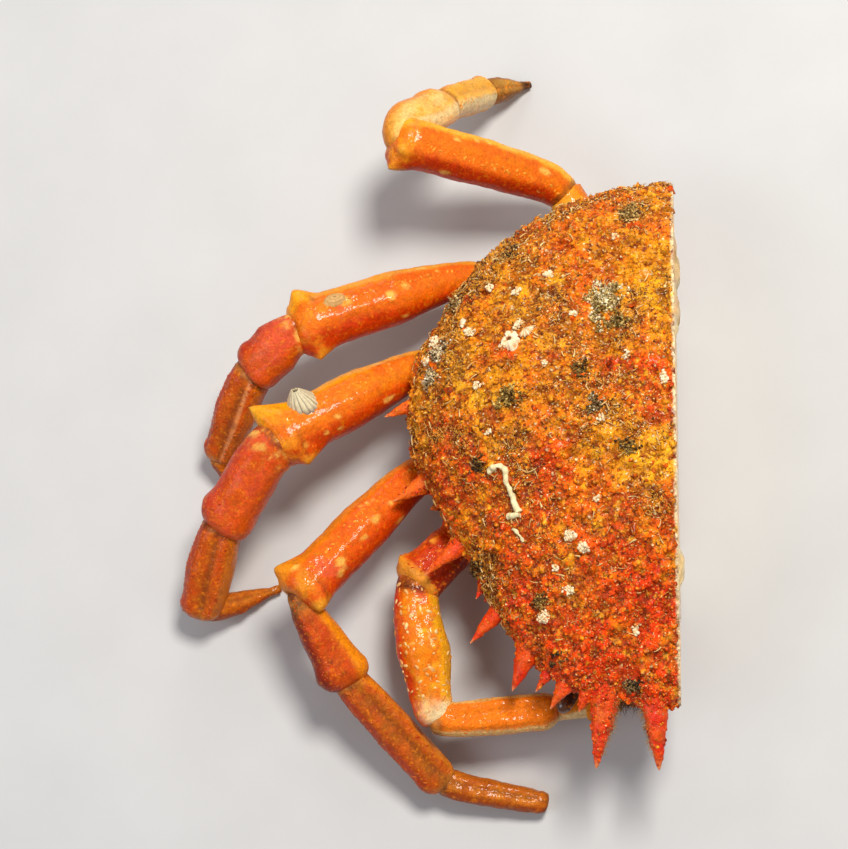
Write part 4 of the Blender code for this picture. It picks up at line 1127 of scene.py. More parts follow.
def articleSkin(start, end, widths, look, lift, before=None, onward=None, elbow=(0.0, 0.0), away=1.0, seed=0):
    # a closed skin along one article, which turns out of the direction of the article before it by a share of
    # the way, elbow[0], from elbow[1] mm inside that article's end; the open end leans towards `onward`
    start, end = np.array(start), np.array(end)
    if before is not None:
        start = start - elbow[1] * before
    axis = unit(end - start)
    length = np.linalg.norm(end - start)
    rings, around = max(20, int(length / look.get("ringGap", 0.72))), 64
    share = np.linspace(0.0, 1.0, rings)
    heading = np.tile(axis, (rings, 1))
    if before is not None and elbow[0] > 0.0:
        turned = elbow[0] * smooth(min(0.6, 13.0 / length), 0.0, share)[:, None]
        angle = math.acos(float(np.clip(axis @ before, -0.99, 0.99)))
        heading = (axis * np.sin((1.0 - turned) * angle) + before * np.sin(turned * angle)) / math.sin(angle)
    steps = np.cumsum(0.5 * (heading[1:] + heading[:-1]), axis=0) * length / (rings - 1)
    line = start + np.concatenate([np.zeros((1, 3)), steps])
    line = line + (end - line[-1]) * share[:, None]
    side = unit(np.cross(heading, (0.0, 0.0, 1.0)))
    up = np.cross(side, heading)
    line = line + up * (lift * np.sin(math.pi * share))[:, None]
    turn = fullTurn(around)
    power = 2.0 / look["square"]
    across = np.sign(np.cos(turn)) * np.abs(np.cos(turn)) ** power
    over = np.sign(np.sin(turn)) * np.abs(np.sin(turn)) ** power
    half = widthAlong(widths, look["profile"], share)
    degrees = np.degrees(turn) if away > 0 else (180.0 - np.degrees(turn)) % 360.0
    ridge = sum(height * wrapped(degrees, middle, spread) for middle, height, spread in look["ridges"])
    body = smooth(0.02, 0.2, share) * smooth(0.96, 0.84, share)
    factor = 1.0 + (ridge + np.zeros(around))[None] * body[:, None]
    for at, middle, height, reach, spread in look["bulges"]:
        beside = wrapped(degrees, middle, spread)[None]
        factor = factor + height * np.exp(-((share - at) / reach) ** 2)[:, None] * beside
    outward = side[:, None] * across[None, :, None] + up[:, None] * (0.92 * over)[None, :, None]
    points = line[:, None] + outward * (half[:, None] * factor)[..., None]
    slide = np.zeros(around)
    if onward is not None:
        sides, notch, slant = look["rim"]
        bend = onward - axis * (onward @ axis)
        slide = half[-1] * (sides * np.cos(turn) ** 2 - notch * np.maximum(0.0, np.sin(turn)) ** 3
                            - slant * np.linalg.norm(bend) * (unit(outward[-1]) @ unit(bend)))
    reach = smooth(0.80, 1.0, share) ** 1.3
    points = points + axis * (reach[:, None] * slide[None])[..., None]
    bump = 0.34 * rough(points, 6.0, seed) + look.get("grain", 0.14) * rough(points, 1.8, seed + 4, 2)
    points = points + unit(outward) * (bump * (0.3 + 0.7 * smooth(0.0, 0.1, share))[:, None])[..., None]
    parts, shares, facings = [points], [np.repeat(share, around)], [unit(outward)]
    for shrink, back in ((0.82, 0.24), (0.50, 0.40)):  # the near end is round
        parts.insert(0, (line[0] + outward[0] * (half[0] * shrink) - heading[0] * (back * half[0]))[None])
        shares.insert(0, np.zeros(around))
        facings.insert(0, unit(outward[:1]))
    # the far end closes in a low dome, out of which the next article comes
    domed = ((0.84, 0.10, 1.0), (0.60, 0.17, 1.02), (0.35, 0.20, 1.04))
    for shrink, ahead, mark in domed if onward is not None else ((0.6, 0.16, 1.0),):
        ring = line[-1] + outward[-1] * (half[-1] * shrink)
        parts.append((ring + axis * (ahead * half[-1] + shrink * slide)[:, None])[None])
        shares.append(np.full(around, mark))
        facings.append(unit(outward[-1:]))
    skin = np.concatenate(parts)
    first = line[0] - heading[0] * 0.46 * half[0]
    last = line[-1] + axis * (0.21 if onward is not None else 0.25) * half[-1]
    return {
        "points": np.concatenate([skin.reshape(-1, 3), [first], [last]]),
        "faces": tubeFaces(len(skin), around),
        "share": np.concatenate(shares + [[0.0], shares[-1][:1]]),
        "degrees": np.concatenate([np.tile(degrees, len(skin)), [0.0, 0.0]]),
        "normals": np.concatenate([np.concatenate(facings).reshape(-1, 3), [-heading[0]], [axis]]),
        "around": around, "rings": rings, "axis": axis, "length": length, "seed": seed,
    }


def drawTeeth(skin, teeth):
    # pulls teeth out of the skin, pointed or blunt, so that they grow out of it without a seam
    points = skin["points"]
    skin["teeth"] = np.zeros(len(points))
    for at, degrees, long, reach, lean, blunt in teeth:
        row = 2 + int(at * (skin["rings"] - 1))
        line = slice(row * skin["around"], (row + 1) * skin["around"])
        near = row * skin["around"] + int(np.argmax(wrapped(skin["degrees"][line], degrees, 20.0)))
        way = unit(skin["normals"][near] + lean * skin["axis"])
        # a tooth's back runs far down the article and its front is steep
        offset = points - points[near]
        along = offset @ skin["axis"]
        beside = np.linalg.norm(offset - along[:, None] * skin["axis"], axis=1)
        far = np.hypot(beside, np.where(along < 0.0, 0.6 * along, 1.4 * along))
        close = np.clip(1.0 - far / reach, 0.0, 1.0)
        rise = close ** 1.5 * (1.0 - blunt) + smooth(0.0, 1.0, close) * blunt
        points = points + way * (long * rise)[:, None]
        skin["teeth"] = np.maximum(skin["teeth"], rise)
    skin["points"] = points


legTones = {
    # base colour and the colours of the outer edge, the crest and the inner edge; the crest is mostly a
    # lighter painted highlight along the top, and the edge turned to the key light mostly the yellower one,
    # as painted light and shade
    "merus": ("#E85A00", "#F79A00", "#EC7404", "#D43A00"),
    "base": ("#E06A08", "#E88A10", "#E88A18", "#C85008"),
    "carpus": ("#D43E00", "#BE3000", "#E06010", "#DC5604"),
    "propodus": ("#CC4600", "#B83400", "#D06408", "#DA7410"),
    "dactyl": ("#C05804", "#A84402", "#D07C18", "#B86008"),
}
limbTones = {
    # where a limb differs from the rest
    "claw_base": ("#C03000", "#B82A00", "#CC3A04", "#B02800"),
    "claw_merus": ("#CC3600", "#D84A04", "#C22E00", "#A82400"),
    "claw_carpus": ("#EC6C00", "#DC3A04", "#F48C04", "#FAAC18"),
    "claw_propodus": ("#F87600", "#F6C478", "#FE7E00", "#F6BC66"),
    "claw_dactyl": ("#EC8A20", "#F3CC8A", "#EC8A20", "#F3CC8A"),
    "leg_1_merus": ("#E65400", "#EE8000", "#EC6C00", "#DC4400"),
    "leg_1_carpus": ("#CC4000", "#8E2200", "#CC5204", "#F28C0C"),
    "leg_1_propodus": ("#C85004", "#C03A00", "#A45C08", "#DE7E14"),
    "leg_4_base": ("#F09010", "#F4A420", "#F4A420", "#E87A0C"),
    "leg_2_merus": ("#EA6200", "#F8A200", "#F28408", "#DA4400"),
    "leg_4_merus": ("#EA6200", "#CA3604", "#F67C08", "#FFB42A"),
    "leg_4_carpus": ("#F6A430", "#F29020", "#F9CC7C", "#FBDA98"),
    "leg_4_propodus": ("#F4B23C", "#F0900C", "#F4A828", "#F6DCA0"),
    "leg_4_dactyl": ("#A86C1E", "#94560E", "#C8943E", "#8E5814"),
}


edgeSpreads = {"claw_propodus": 27.0, "leg_4_merus": 52.0}  # how far the edges' colours reach, in degrees
necks = {"leg_1": 0.9, "leg_4": 0.85, "leg_4_carpus": 0.3}  # how dark the skin is where an article comes out


def legColour(limb, kind, skin):
    points, share, degrees, seed = skin["points"], skin["share"], skin["degrees"], skin["seed"]
    article = f"{limb}_{kind}"
    walking = limb != "claw"
    patch, fine = rough(points, 9.0, seed), rough(points, 2.2, seed + 2)

    def patches(low, high, size, offset, octaves=3):  # uneven spots of a size in mm, from 0 to 1
        return smooth(low, high, rough(points, size, seed + offset, octaves))

    plain, outer, crest, inner = limbTones.get(article, legTones[kind])
    # the crest tone runs along the top of the article; on most articles it is lighter than the base colour, a
    # painted highlight
    colour = mixed(plain, crest, wrapped(degrees, 92.0, 30.0) * (0.6 + 0.8 * fine))
    spread = edgeSpreads.get(article, 40.0)
    uneven = 0.25 * patch + 0.15 * fine
    # on most articles the edge turned to the key light, towards the rear and right, has the yellower tone and
    # the far edge the redder or browner one: painted light and shade over the limb's own colouring
    colour = mixed(colour, outer, smooth(0.25, 0.75, wrapped(degrees, 22.0, spread) + uneven))
    colour = mixed(colour, inner, smooth(0.25, 0.75, wrapped(degrees, 158.0, min(spread, 40.0)) + uneven))
    if kind == "merus" and walking:
        ends = smooth(0.84, 0.96, share + 0.06 * fine) * patches(-0.25, 0.5, 3.2, 9)
        colour = mixed(colour, "#F8A01C", 0.7 * ends)
        rosy = patches(0.35, 0.65, 6.5, 11, 2) * smooth(0.70, 0.8, share)
        colour = mixed(colour, legPaint["pink"], 0.6 * rosy)
        rng = np.random.default_rng(seed)
        for _ in range(11):  # pale yellow spots
            at, middle, long = rng.uniform(0.2, 0.93), rng.uniform(15.0, 165.0), 0.4 + 0.8 * rng.random() ** 2
            beside = np.radians(degrees - middle) * 7.5 / long
            far = np.hypot((share - at) * skin["length"] / (1.5 * long), beside)
            colour = mixed(colour, legPaint["spot"], 0.8 * smooth(1.3, 0.6, far + 0.9 * fine))
    if article in ("leg_2_carpus", "leg_3_carpus"):
        colour = mixed(colour, legPaint["pink"], 0.65 * patches(-0.1, 0.5, 8.0, 5) * wrapped(degrees, 80, 60))
        spots = smooth(0.34, 0.12, share) * smooth(0.1, 0.5, fine + 0.2 * patch + 0.15)
        colour = mixed(colour, legPaint["spot"], 0.8 * spots)
    if article == "leg_1_carpus":
        colour = mixed(colour, "#5A2408", 0.7 * (patches(0.25, 0.6, 1.5, 6, 2) * wrapped(degrees, 80, 50)))
    if kind == "propodus" and walking:
        line = (0.2 if limb == "leg_4" else 0.85) * wrapped(degrees, 97.0, 7.0) * smooth(0.08, 0.2, share)
        colour = mixed(colour, legPaint["brown"], line)
        if limb == "leg_3":
            colour = mixed(colour, "#F4A868", 0.8 * wrapped(degrees, 110.0, 4.5))
        colour = mixed(colour, "#EE9A3C", 0.45 * smooth(0.88, 1.0, share) * smooth(-0.3, 0.4, fine))
    if kind in ("propodus", "dactyl") and limb in ("leg_1", "leg_2", "leg_3"):
        blotch = mixed("#A83400", legPaint["brown"], share)
        colour = mixed(colour, blotch, 0.45 * patches(-0.05, 0.45, 3.2, 15))
    if kind == "dactyl":
        colour = mixed(colour, legPaint["brown"], 0.6 * wrapped(degrees, 97.0, 8.0))
        start, tipTone = (0.70, "#4E2A10") if limb == "leg_4" else (0.93, legPaint["horn"])
        colour = mixed(colour, tipTone, smooth(start, start + 0.18, share + 0.04 * fine))
    if article == "claw_carpus":
        colour = mixed(colour, "#FFBC28", 0.6 * patches(0.1, 0.5, 1.9, 7, 2) * wrapped(degrees, 115, 70))
        colour = mixed(colour, "#E24A28", 0.8 * smooth(0.5, 0.2, share) * patches(0.0, 0.4, 4.0, 3))
        pale = smooth(0.80, 0.95, share + 0.06 * fine)
        colour = mixed(colour, legPaint["cream"], 0.9 * pale * wrapped(degrees, 120, 70))
    if article == "claw_merus":
        colour = mixed(colour, "#F09A2A", 0.9 * smooth(0.885, 0.93, share + 0.02 * fine))
    if "teeth" in skin:
        colour = mixed(colour, "#F9AC2C", 0.7 * smooth(0.25, 0.8, skin["teeth"] + 0.2 * fine))
    below = mixed(legPaint["tan"], legPaint["spot"], 0.3 + 0.6 * patch)
    colour = mixed(colour, below, 0.8 * wrapped(degrees, 270, 52))
    dome = smooth(1.01, 1.035, share) * (0.3 if limb == "leg_4" else 0.85)
    colour = mixed(colour, mixed(legPaint["membrane"], legPaint["tan"], 0.3 + 0.9 * fine), dome)
    if kind != "base":
        inside = elbows[limb][kind][1] / skin["length"]
        neck = necks.get(article, necks.get(limb, 0.75)) * smooth(0.05, 0.0, share - inside + 0.03 * fine)
        if article == "leg_1_carpus":
            neck = 0.9 * smooth(0.30, 0.12, share + 0.08 * fine)
        colour = mixed(colour, mixed(legPaint["membrane"], legPaint["tan"], 0.4 + 0.9 * fine), neck)
    if article == "claw_carpus":  # a dark slot behind the collar
        # a near-black band in the gap behind the merus's collar: painted shade
        collarGapShade = wrapped(degrees, 80.0, 60.0) * np.exp(-((share - 0.075 - 0.015 * fine) / 0.026) ** 2)
        colour = mixed(colour, "#4E1004", 0.95 * collarGapShade)
    if kind == "merus" and walking:  # dirt gathers in the crease behind the collar
        crease = np.exp(-((share - 0.90 - 0.012 * fine) / 0.010) ** 2) * patches(0.0, 0.4, 5.0, 13)
        colour = mixed(colour, legPaint["brown"], 0.7 * crease)
    return colour


def granules(made, skin, keep, count, size, colours, rng):
    spots, facing = surfaceSpots(skin["points"], skin["normals"], skin["faces"][0], count, rng, keep)
    kept = thinned(spots, np.full(len(spots), 2.1 * size))
    spots, facing = spots[kept], facing[kept]
    model, faces = wart(((1.05, -0.3), (0.85, 0.3), (0.45, 0.62)), 0.72)
    scale = size * rng.uniform(0.5, 1.15, (len(spots), 1)) * np.array([[1.35, 0.8, 0.6]])
    scale = scale * rng.uniform(0.75, 1.45, (len(spots), 3)) ** np.array([[1.6, 1.0, 0.5]])
    tone = mixed(*colours, rng.random(len(spots)))
    scattered(made, model, faces, spots, framesFrom(facing, rng), scale, tone)


fixedFinger = {"start": (-42.0, -60.5, 14.6), "end": (-17.5, -60.5, 9.4), "widths": (3.8, 2.9, 1.1)}


beads = {
    # articles with granules: how many are tried, their size, and the two colours they lie between
    "claw_base": (130, 0.5, ("#C83000", "#E86810")),
    "claw_merus": (130, 0.5, ("#C83000", "#E86810")),
    "claw_carpus": (170, 0.56, ("#F08A14", "#FAD892")),
    "claw_propodus": (1000, 0.22, ("#EC6E00", "#F6921A")),
    "merus": (60, 0.42, ("#EE7A06", "#F6A434")),
    "carpus": (60, 0.34, ("#CE4206", "#E0601C")),
    "propodus": (480, 0.34, ("#B63A04", "#DC681C")),
    "leg_4_carpus": None,
    "leg_4_propodus": (480, 0.34, ("#F0A030", "#F4C060")),
}


def dressArticle(made, limb, kind, skin, rng):
    # granules over the top of the pincer leg, and in rows along the edges of the others
    found = beads.get(f"{limb}_{kind}", beads.get(kind))
    if not found:
        return
    share, degrees = skin["share"], skin["degrees"]
    if limb != "claw":
        keep = {
            "merus": wrapped(degrees, 78.0, 4.0),
            "carpus": wrapped(degrees, 62.0, 14.0),
            "propodus": (wrapped(degrees, 14.0, 12.0) + 0.4 * wrapped(degrees, 62.0, 8.0)
                         + 0.3 * wrapped(degrees, 126.0, 8.0)),
        }[kind]
    elif kind == "propodus":
        keep = wrapped(degrees, 90.0, 48.0)
    else:
        keep = smooth(-0.1, 0.4, skin["normals"][:, 2])
    if limb == "claw" and kind == "carpus":
        keep = keep * (0.15 + smooth(-0.2, 0.4, rough(skin["points"], 4.0, 91))) * smooth(0.97, 0.8, share)
    count, size, colours = found
    granules(made, skin, keep * (share > 0.07) * (share < 0.96), count, size, colours, rng)


def buildLimbs():
    rng = np.random.default_rng(21)
    for order, (limb, plan) in enumerate(limbs.items()):
        joints, widths = plan["joints"], plan["widths"]
        away = -1.0 if limb == "leg_4" else 1.0  # the rearmost leg bends the other way
        for k, kind in enumerate(articles):
            onward = unit(np.array(joints[k + 2]) - np.array(joints[k + 1])) if k < 4 else None
            before = unit(np.array(joints[k]) - np.array(joints[k - 1])) if k else None
            seed = 100 + 20 * order + 4 * k
            lift = 1.5 if kind == "merus" else 0.0  # the long articles arch a little
            skin = articleSkin(joints[k], joints[k + 1], widths[k], articles[kind], lift, before, onward,
                               elbows[limb].get(kind, (0.0, 0.0)), away, seed)
            drawTeeth(skin, spurs.get(f"{limb}_{kind}", ()))
            made = Shape()
            made.add(skin["points"], skin["faces"], legColour(limb, kind, skin))
            dressArticle(made, limb, kind, skin, rng)
            if limb == "claw" and kind == "propodus":
                finger = articleSkin(fixedFinger["start"], fixedFinger["end"], fixedFinger["widths"],
                                     articles["dactyl"], 0.0, away=away, seed=seed + 2)
                made.add(finger["points"], finger["faces"], legColour(limb, "dactyl", finger))
            made.piece(limb.replace("_", "") + kind.capitalize(), legChitin, "limb", (f"{limb}_{kind}",))


buildLimbs()
print("limbs made")


# growths on the legs

barnacle = {"limb": "leg_2", "share": 0.78, "lean": 0.75, "radius": 5.0, "height": 6.5, "tilt": 1.6}
flatBarnacle = {"limb": "leg_3", "share": 0.80, "lean": 0.45, "long": 4.6, "wide": 2.6, "height": 1.1}


def seatOn(limb, share, lean):
    # a seat on a leg's long article: its place on the axis, the axis, the ways up and across, the half width
    start, end = (np.array(joint) for joint in limbs[limb]["joints"][1:3])
    axis = unit(end - start)
    side = unit(np.cross(axis, (0.0, 0.0, 1.0)))
    up = unit(np.cross(side, axis) * math.cos(lean) + side * math.sin(lean))
    half = limbs[limb]["widths"][1][2] * 0.9
    return start + (end - start) * share, axis, up, np.cross(up, axis), half


def buildBarnacle():
    middle, axis, up, across, half = seatOn(barnacle["limb"], barnacle["share"], barnacle["lean"])
    seat = middle + up * (half - 1.0)
    around, rings = 96, 26
    turn = fullTurn(around)
    rise = np.linspace(0.0, 1.0, rings)
    # ribbed plates that lean in to an uneven mouth with a beak inside; the mouth's inner rings and the beak
    # are painted near black, as painted shade in the hole
    plates = np.abs(np.sin(9.0 * turn + 0.6 * np.sin(3.0 * turn)))
    ribs = 0.075 * plates[None] * smooth(1.05, 0.1, rise)[:, None]
    size = barnacle["radius"] * (1.0 - 0.77 * rise ** 1.7)[:, None] * (0.95 + ribs)
    offset = np.cos(turn)[:, None] * axis + np.sin(turn)[:, None] * across
    jag = 0.5 * lattice(offset * 3.0, 1.0, 9)
    points = (seat + up * (barnacle["height"] * rise)[:, None, None] + offset[None] * size[..., None]
              + up * (jag[None] * rise[:, None] ** 3)[..., None]
              + axis * (barnacle["tilt"] * rise)[:, None, None])
    groove = smooth(0.55, 0.0, plates)[None] * np.ones((rings, 1))
    paint = mixed("#DCCDA6", "#5C5248", 0.9 * groove)
    paint = mixed(paint, "#6A5058", 0.7 * smooth(0.30, 0.0, rise)[:, None] * np.ones((1, around)))
    lip = points[-1]
    inwards = seat + up * barnacle["height"] + barnacle["tilt"] * axis - lip
    mouth = [lip + inwards * (1.0 - shrink) - up * down
             for shrink, down in ((0.8, 0.1), (0.62, 0.9), (0.4, 1.4))]
    skin = np.concatenate([points, np.array(mouth)])
    # the two innermost rings are painted near black: painted shade down in the mouth
    tones = np.concatenate([paint, np.broadcast_to(linear("#BFAE84"), (1, around, 3)),
                            np.broadcast_to(linear("#2A2420"), (2, around, 3))])
    made = Shape()
    beak = seat + up * (barnacle["height"] - 0.6) + barnacle["tilt"] * axis
    made.addTube(skin, [seat - up, beak], tones, ("#5A3A44", "#3A322A"))
    made.piece("barnacleShell", limeGrowth, "growth", ("barnacle",))


def buildFlatBarnacle():
    plan = flatBarnacle
    middle, axis, up, across, half = seatOn(plan["limb"], plan["share"], plan["lean"])
    seat = middle + up * (half + 0.9)
    around, rings = 48, 12
    turn = fullTurn(around)
    share = np.linspace(1.0, 0.05, rings)[:, None]
    ribs = 1.0 + 0.05 * np.sin(11.0 * turn)[None]
    points = (seat + axis * (plan["long"] * share * ribs * np.cos(turn))[..., None]
              + across * (plan["wide"] * share * ribs * np.sin(turn))[..., None]
              + up * (plan["height"] * (1.0 - share ** 2.2) - 0.9 * share ** 4)[..., None])
    tone = mixed("#D8A866", "#B98A4A", 0.5 + 0.5 * np.sin(22.0 * share + 0.0 * turn))
    made = Shape()
    made.addTube(points, [seat - up, seat + up * plan["height"]], tone, ("#8A6A44", "#E2C48C"))
    made.piece("flatBarnacle", limeGrowth, "growth")


buildBarnacle()
buildFlatBarnacle()
print("barnacles made")


# the face: eye on its stalk, antenna base and jaw leg

face = {
    # the piece's name, its start and end, and its half widths
    "antenna_base": ("feelerBase", (-17.0, -34.5, 21.6), (-24.5, -65.5, 25.5), (3.0, 3.2, 2.8)),
    "eye": ("eyeStalk", (-20.2, -38.0, 24.5), (-33.4, -62.0, 28.6), (1.9, 1.9, 2.5)),
    "maxilliped": ("jawLeg", (-9.0, -29.5, 9.5), (-9.0, -42.0, 26.0), (6.0, 6.4, 5.0)),
}


def buildFace():
    for number, (name, (pieceName, start, end, widths)) in enumerate(face.items()):
        look = articles["base" if name == "eye" else "propodus"]
        skin = articleSkin(start, end, widths, look, 0.0, seed=300 + number)
        colour = legColour("leg_1", "base", skin)
        if name == "eye":
            colour = mixed(colour, "#3A1E10", smooth(0.62, 0.7, skin["share"]))
        made = Shape()
        made.add(skin["points"], skin["faces"], colour)
        made.piece(pieceName, legChitin, "eye" if name == "eye" else "limb", (name,))


cornea = {"rings": 13, "around": 24, "size": (2.45, 2.3, 3.2), "sunk": 1.4}


def buildCornea():
    # caps the eye's stalk
    _, start, end, _ = face["eye"]
    axis = unit(np.array(end) - np.array(start))
    side = unit(np.cross(axis, (0.0, 0.0, 1.0)))
    lift, turn = np.linspace(0.0, math.pi, cornea["rings"])[:, None], fullTurn(cornea["around"])[None]
    out, up = np.sin(lift), -np.cos(lift) + 0.0 * turn
    ball = np.stack([out * np.cos(turn), out * np.sin(turn), up], -1).reshape(-1, 3)
    local = ball * np.array(cornea["size"])
    points = np.array(end) - axis * cornea["sunk"] + local @ np.stack([side, np.cross(axis, side), axis])
    made = Shape()
    tone = mixed("#2A150B", "#6A3A1C", 0.5 + 0.6 * rough(points, 1.6, 7))
    made.add(points, [gridFaces(cornea["rings"], cornea["around"], closed=True, turned=True)], tone)
    made.piece("eyeCornea", corneaHorn, "eye")


buildFace()
buildCornea()
print("face made")


# the flesh and the underside

body = {"underZ": 4.8, "gap": 0.3, "flapHalf": 15.0, "flapTop": 2.2, "flapTipY": -12.0, "flapRootY": 54.0}
meat = paintBox(white="#FFF4DE", cream="#F6DDA6", tan="#EBB45E", amber="#DE9038", seam="#D9A460",
                orange="#EE8C34")


def footShare(angle):
    # how much of the plan radius the underside takes up
    lengthwise = np.cos(angle) ** 2
    return 0.46 + 0.30 * lengthwise * (1.0 - 0.55 * lengthwise)


def buildBodyWall():
    # the side and underside of the body below the shell, from one end of the cut round to the other
    columns = 150
    top = inwardGrid(shellGrid(columns, 30, 8), shell["wall"] + body["gap"])[:-1]
    angles, radii = rimRadii(columns)
    rimZ = rimHeight(angles, radii)
    foot = footShare(angles)
    # how far each ring has gone from the shell's edge to the foot, and its height as a share of the rim's
    # and some more millimetres
    steps = ((0.25, 1.0, -9.5), (0.40, 0.85, -6.85), (0.55, 0.7, -4.2), (0.70, 0.35, 3.6), (0.82, 0.0, 11.5),
             (0.94, 0.0, 8.0), (1.04, 0.0, body["underZ"]))
    lower = []
    for towards, rimPart, more in steps:
        share = 0.79 * 0.97 * (1.0 - towards) + foot * towards
        lower.append(fromMiddle(share * radii, angles, rimPart * rimZ + more))
    grid = np.concatenate([top, np.array(lower)])
    grid[:, [0, -1], 0] = 0.0
    sideBand = np.zeros(len(grid))
    sideBand[len(top):] = 1.0
    bumps = 0.5 * rough(grid, 6.0, 81) + 0.25 * lattice(grid, 2.2, 84)
    grid = grid + gridNormals(grid) * (bumps * sideBand[:, None])[..., None]
    grid[:, [0, -1], 0] = 0.0
    wall = Shape()
    tone = mixed("#E08A34", "#F0B868", 0.5 + 0.7 * rough(grid, 9.0, 82))
    tone = mixed(tone, "#CC5A14", 0.7 * smooth(0.0, 0.6, rough(grid, 5.0, 83)))
    tone = mixed(tone, "#F2CF98", 0.7 * smooth(16.0, 6.0, grid[..., 2]))
    wall.add(grid, [gridFaces(*grid.shape[:2])], tone)
    bottom = np.concatenate([grid[-1], [[0.0, shell["centreY"], body["underZ"]]]])
    wall.add(bottom, [fanFaces(np.arange(columns + 1), columns + 1, closed=False)], "#D9A468")
    wall.piece("bodyWall", legChitin, "flesh")
    return grid


cutFace = {"rings": 72, "rays": 320, "middleZ": 27.0, "bundle": 11.5, "pastCut": 1.5}


def buildCutFace(wallGrid):
    # the cut face, as rays from a middle point out to the section's edge
    edge = np.concatenate([wallGrid[:, 0], wallGrid[::-1, -1]])[:, 1:]
    middle = np.array([shell["centreY"], cutFace["middleZ"]])
    turn = np.arctan2(edge[:, 1] - middle[1], edge[:, 0] - middle[0])
    far = np.hypot(*(edge - middle).T)
    order = np.argsort(turn)
    rows, columns = cutFace["rings"], cutFace["rays"]
    rays = np.linspace(-math.pi, math.pi, columns + 1)[:-1]
    reach = np.interp(rays, turn[order], far[order], period=2.0 * math.pi)
    # the bottom edge is straight
    down = np.sin(rays) < -0.01
    floorReach = np.where(down, (middle[1] - body["underZ"]) / np.maximum(-np.sin(rays), 0.01), 1e9)
    belowBody = np.abs(np.cos(rays) * floorReach) < 70.0
    reach = np.where(belowBody, np.minimum(reach, floorReach), reach)
    share = np.linspace(0.0, 1.0, rows)[:, None]
    y = middle[0] + share * reach * np.cos(rays)
    z = middle[1] + share * reach * np.sin(rays)
    spot = np.stack([0.0 * y, y, z], axis=-1)
    warp = spot + 1.6 * np.stack([0 * y, rough(spot, 7.0, 91), rough(spot, 7.0, 92)], axis=-1)
    wy, wz = warp[..., 1], warp[..., 2]
    # below, bundles of white meat that fan out upwards, with fine fibres; above, softer and darker meat
    fan = 14.0 + (wy - 14.0) / (1.0 + 0.016 * (wz - 5.0))
    fan = fan + 2.4 * np.sin(0.13 * fan + 1.0)
    apart = np.abs(fan / cutFace["bundle"] - np.round(fan / cutFace["bundle"])) * cutFace["bundle"]
    lower = smooth(1.0, -1.0, (wz - 23.0 - 3.0 * rough(spot, 16.0, 90) + 0.0016 * (wy - 14.0) ** 2) / 4.0)
    seam = np.exp(-(apart / 0.55) ** 2) * lower
    fibre = lattice(np.stack([0 * y, 3.0 * fan, 0.45 * wz], -1), 2.4, 95)
    strand = lattice(np.stack([0 * y, 6.0 * fan, 0.8 * wz], -1), 2.0, 96)
    threads = 0.45 + 0.4 * fibre + 0.25 * strand + 0.4 * rough(spot, 7.0, 94)
    bundle = mixed(meat["white"], meat["cream"], threads)
    curd = rough(spot, 5.0, 97)
    upper = mixed(meat["cream"], meat["tan"], 0.55 + 0.9 * curd + 0.4 * rough(spot, 14.0, 98))
    upper = mixed(upper, meat["amber"], 0.6 * smooth(0.2, 0.7, rough(spot, 9.0, 99) + 0.4 * curd))
    upper = mixed(upper, meat["white"], 0.45 * smooth(0.1, 0.7, rough(spot, 6.0, 100, 2)))
    crack = np.exp(-(rough(warp, 9.0, 104, 2) / 0.045) ** 2) * smooth(-0.2, 0.3, rough(spot, 12.0, 105))
    upper = mixed(upper, meat["amber"], 0.55 * crack)
    colour = mixed(upper, bundle, lower)
    colour = mixed(colour, meat["seam"], 0.7 * seam)
    near = (1.0 - share) * reach  # mm from the section's edge
    colour = mixed(colour, meat["orange"], 0.45 * smooth(3.4, 0.4, near + 1.2 * curd))
    colour = mixed(colour, meat["white"], 0.6 * smooth(0.8, 0.3, near))
    depth = (lower * (0.25 - 0.22 * fibre - 0.12 * strand + 0.7 * seam)
             + (1.0 - lower) * (0.45 - 0.75 * curd - 0.25 * rough(spot, 2.4, 101) + 0.7 * crack))
    depth = np.maximum(depth + 0.25, 0.0) * smooth(0.0, 2.5, near)
    # flakes of meat stand a little past the cut
    flake = smooth(22.0, 8.0, np.abs(wy - 59.0)) + smooth(9.0, 3.0, np.abs(wy + 23.0))
    flake = flake * smooth(9.0, 2.0, np.abs(wz - 25.0)) * smooth(-0.4, 0.3, rough(spot, 5.0, 103))
    depth = depth * (1.0 - flake) - cutFace["pastCut"] * flake
    made = Shape()
    made.add(np.stack([-depth, y, z], axis=-1), [gridFaces(rows, columns, closed=True)], colour)
    made.piece("cutFlesh", cookedMeat, "flesh", ("flesh",))


buildCutFace(buildBodyWall())


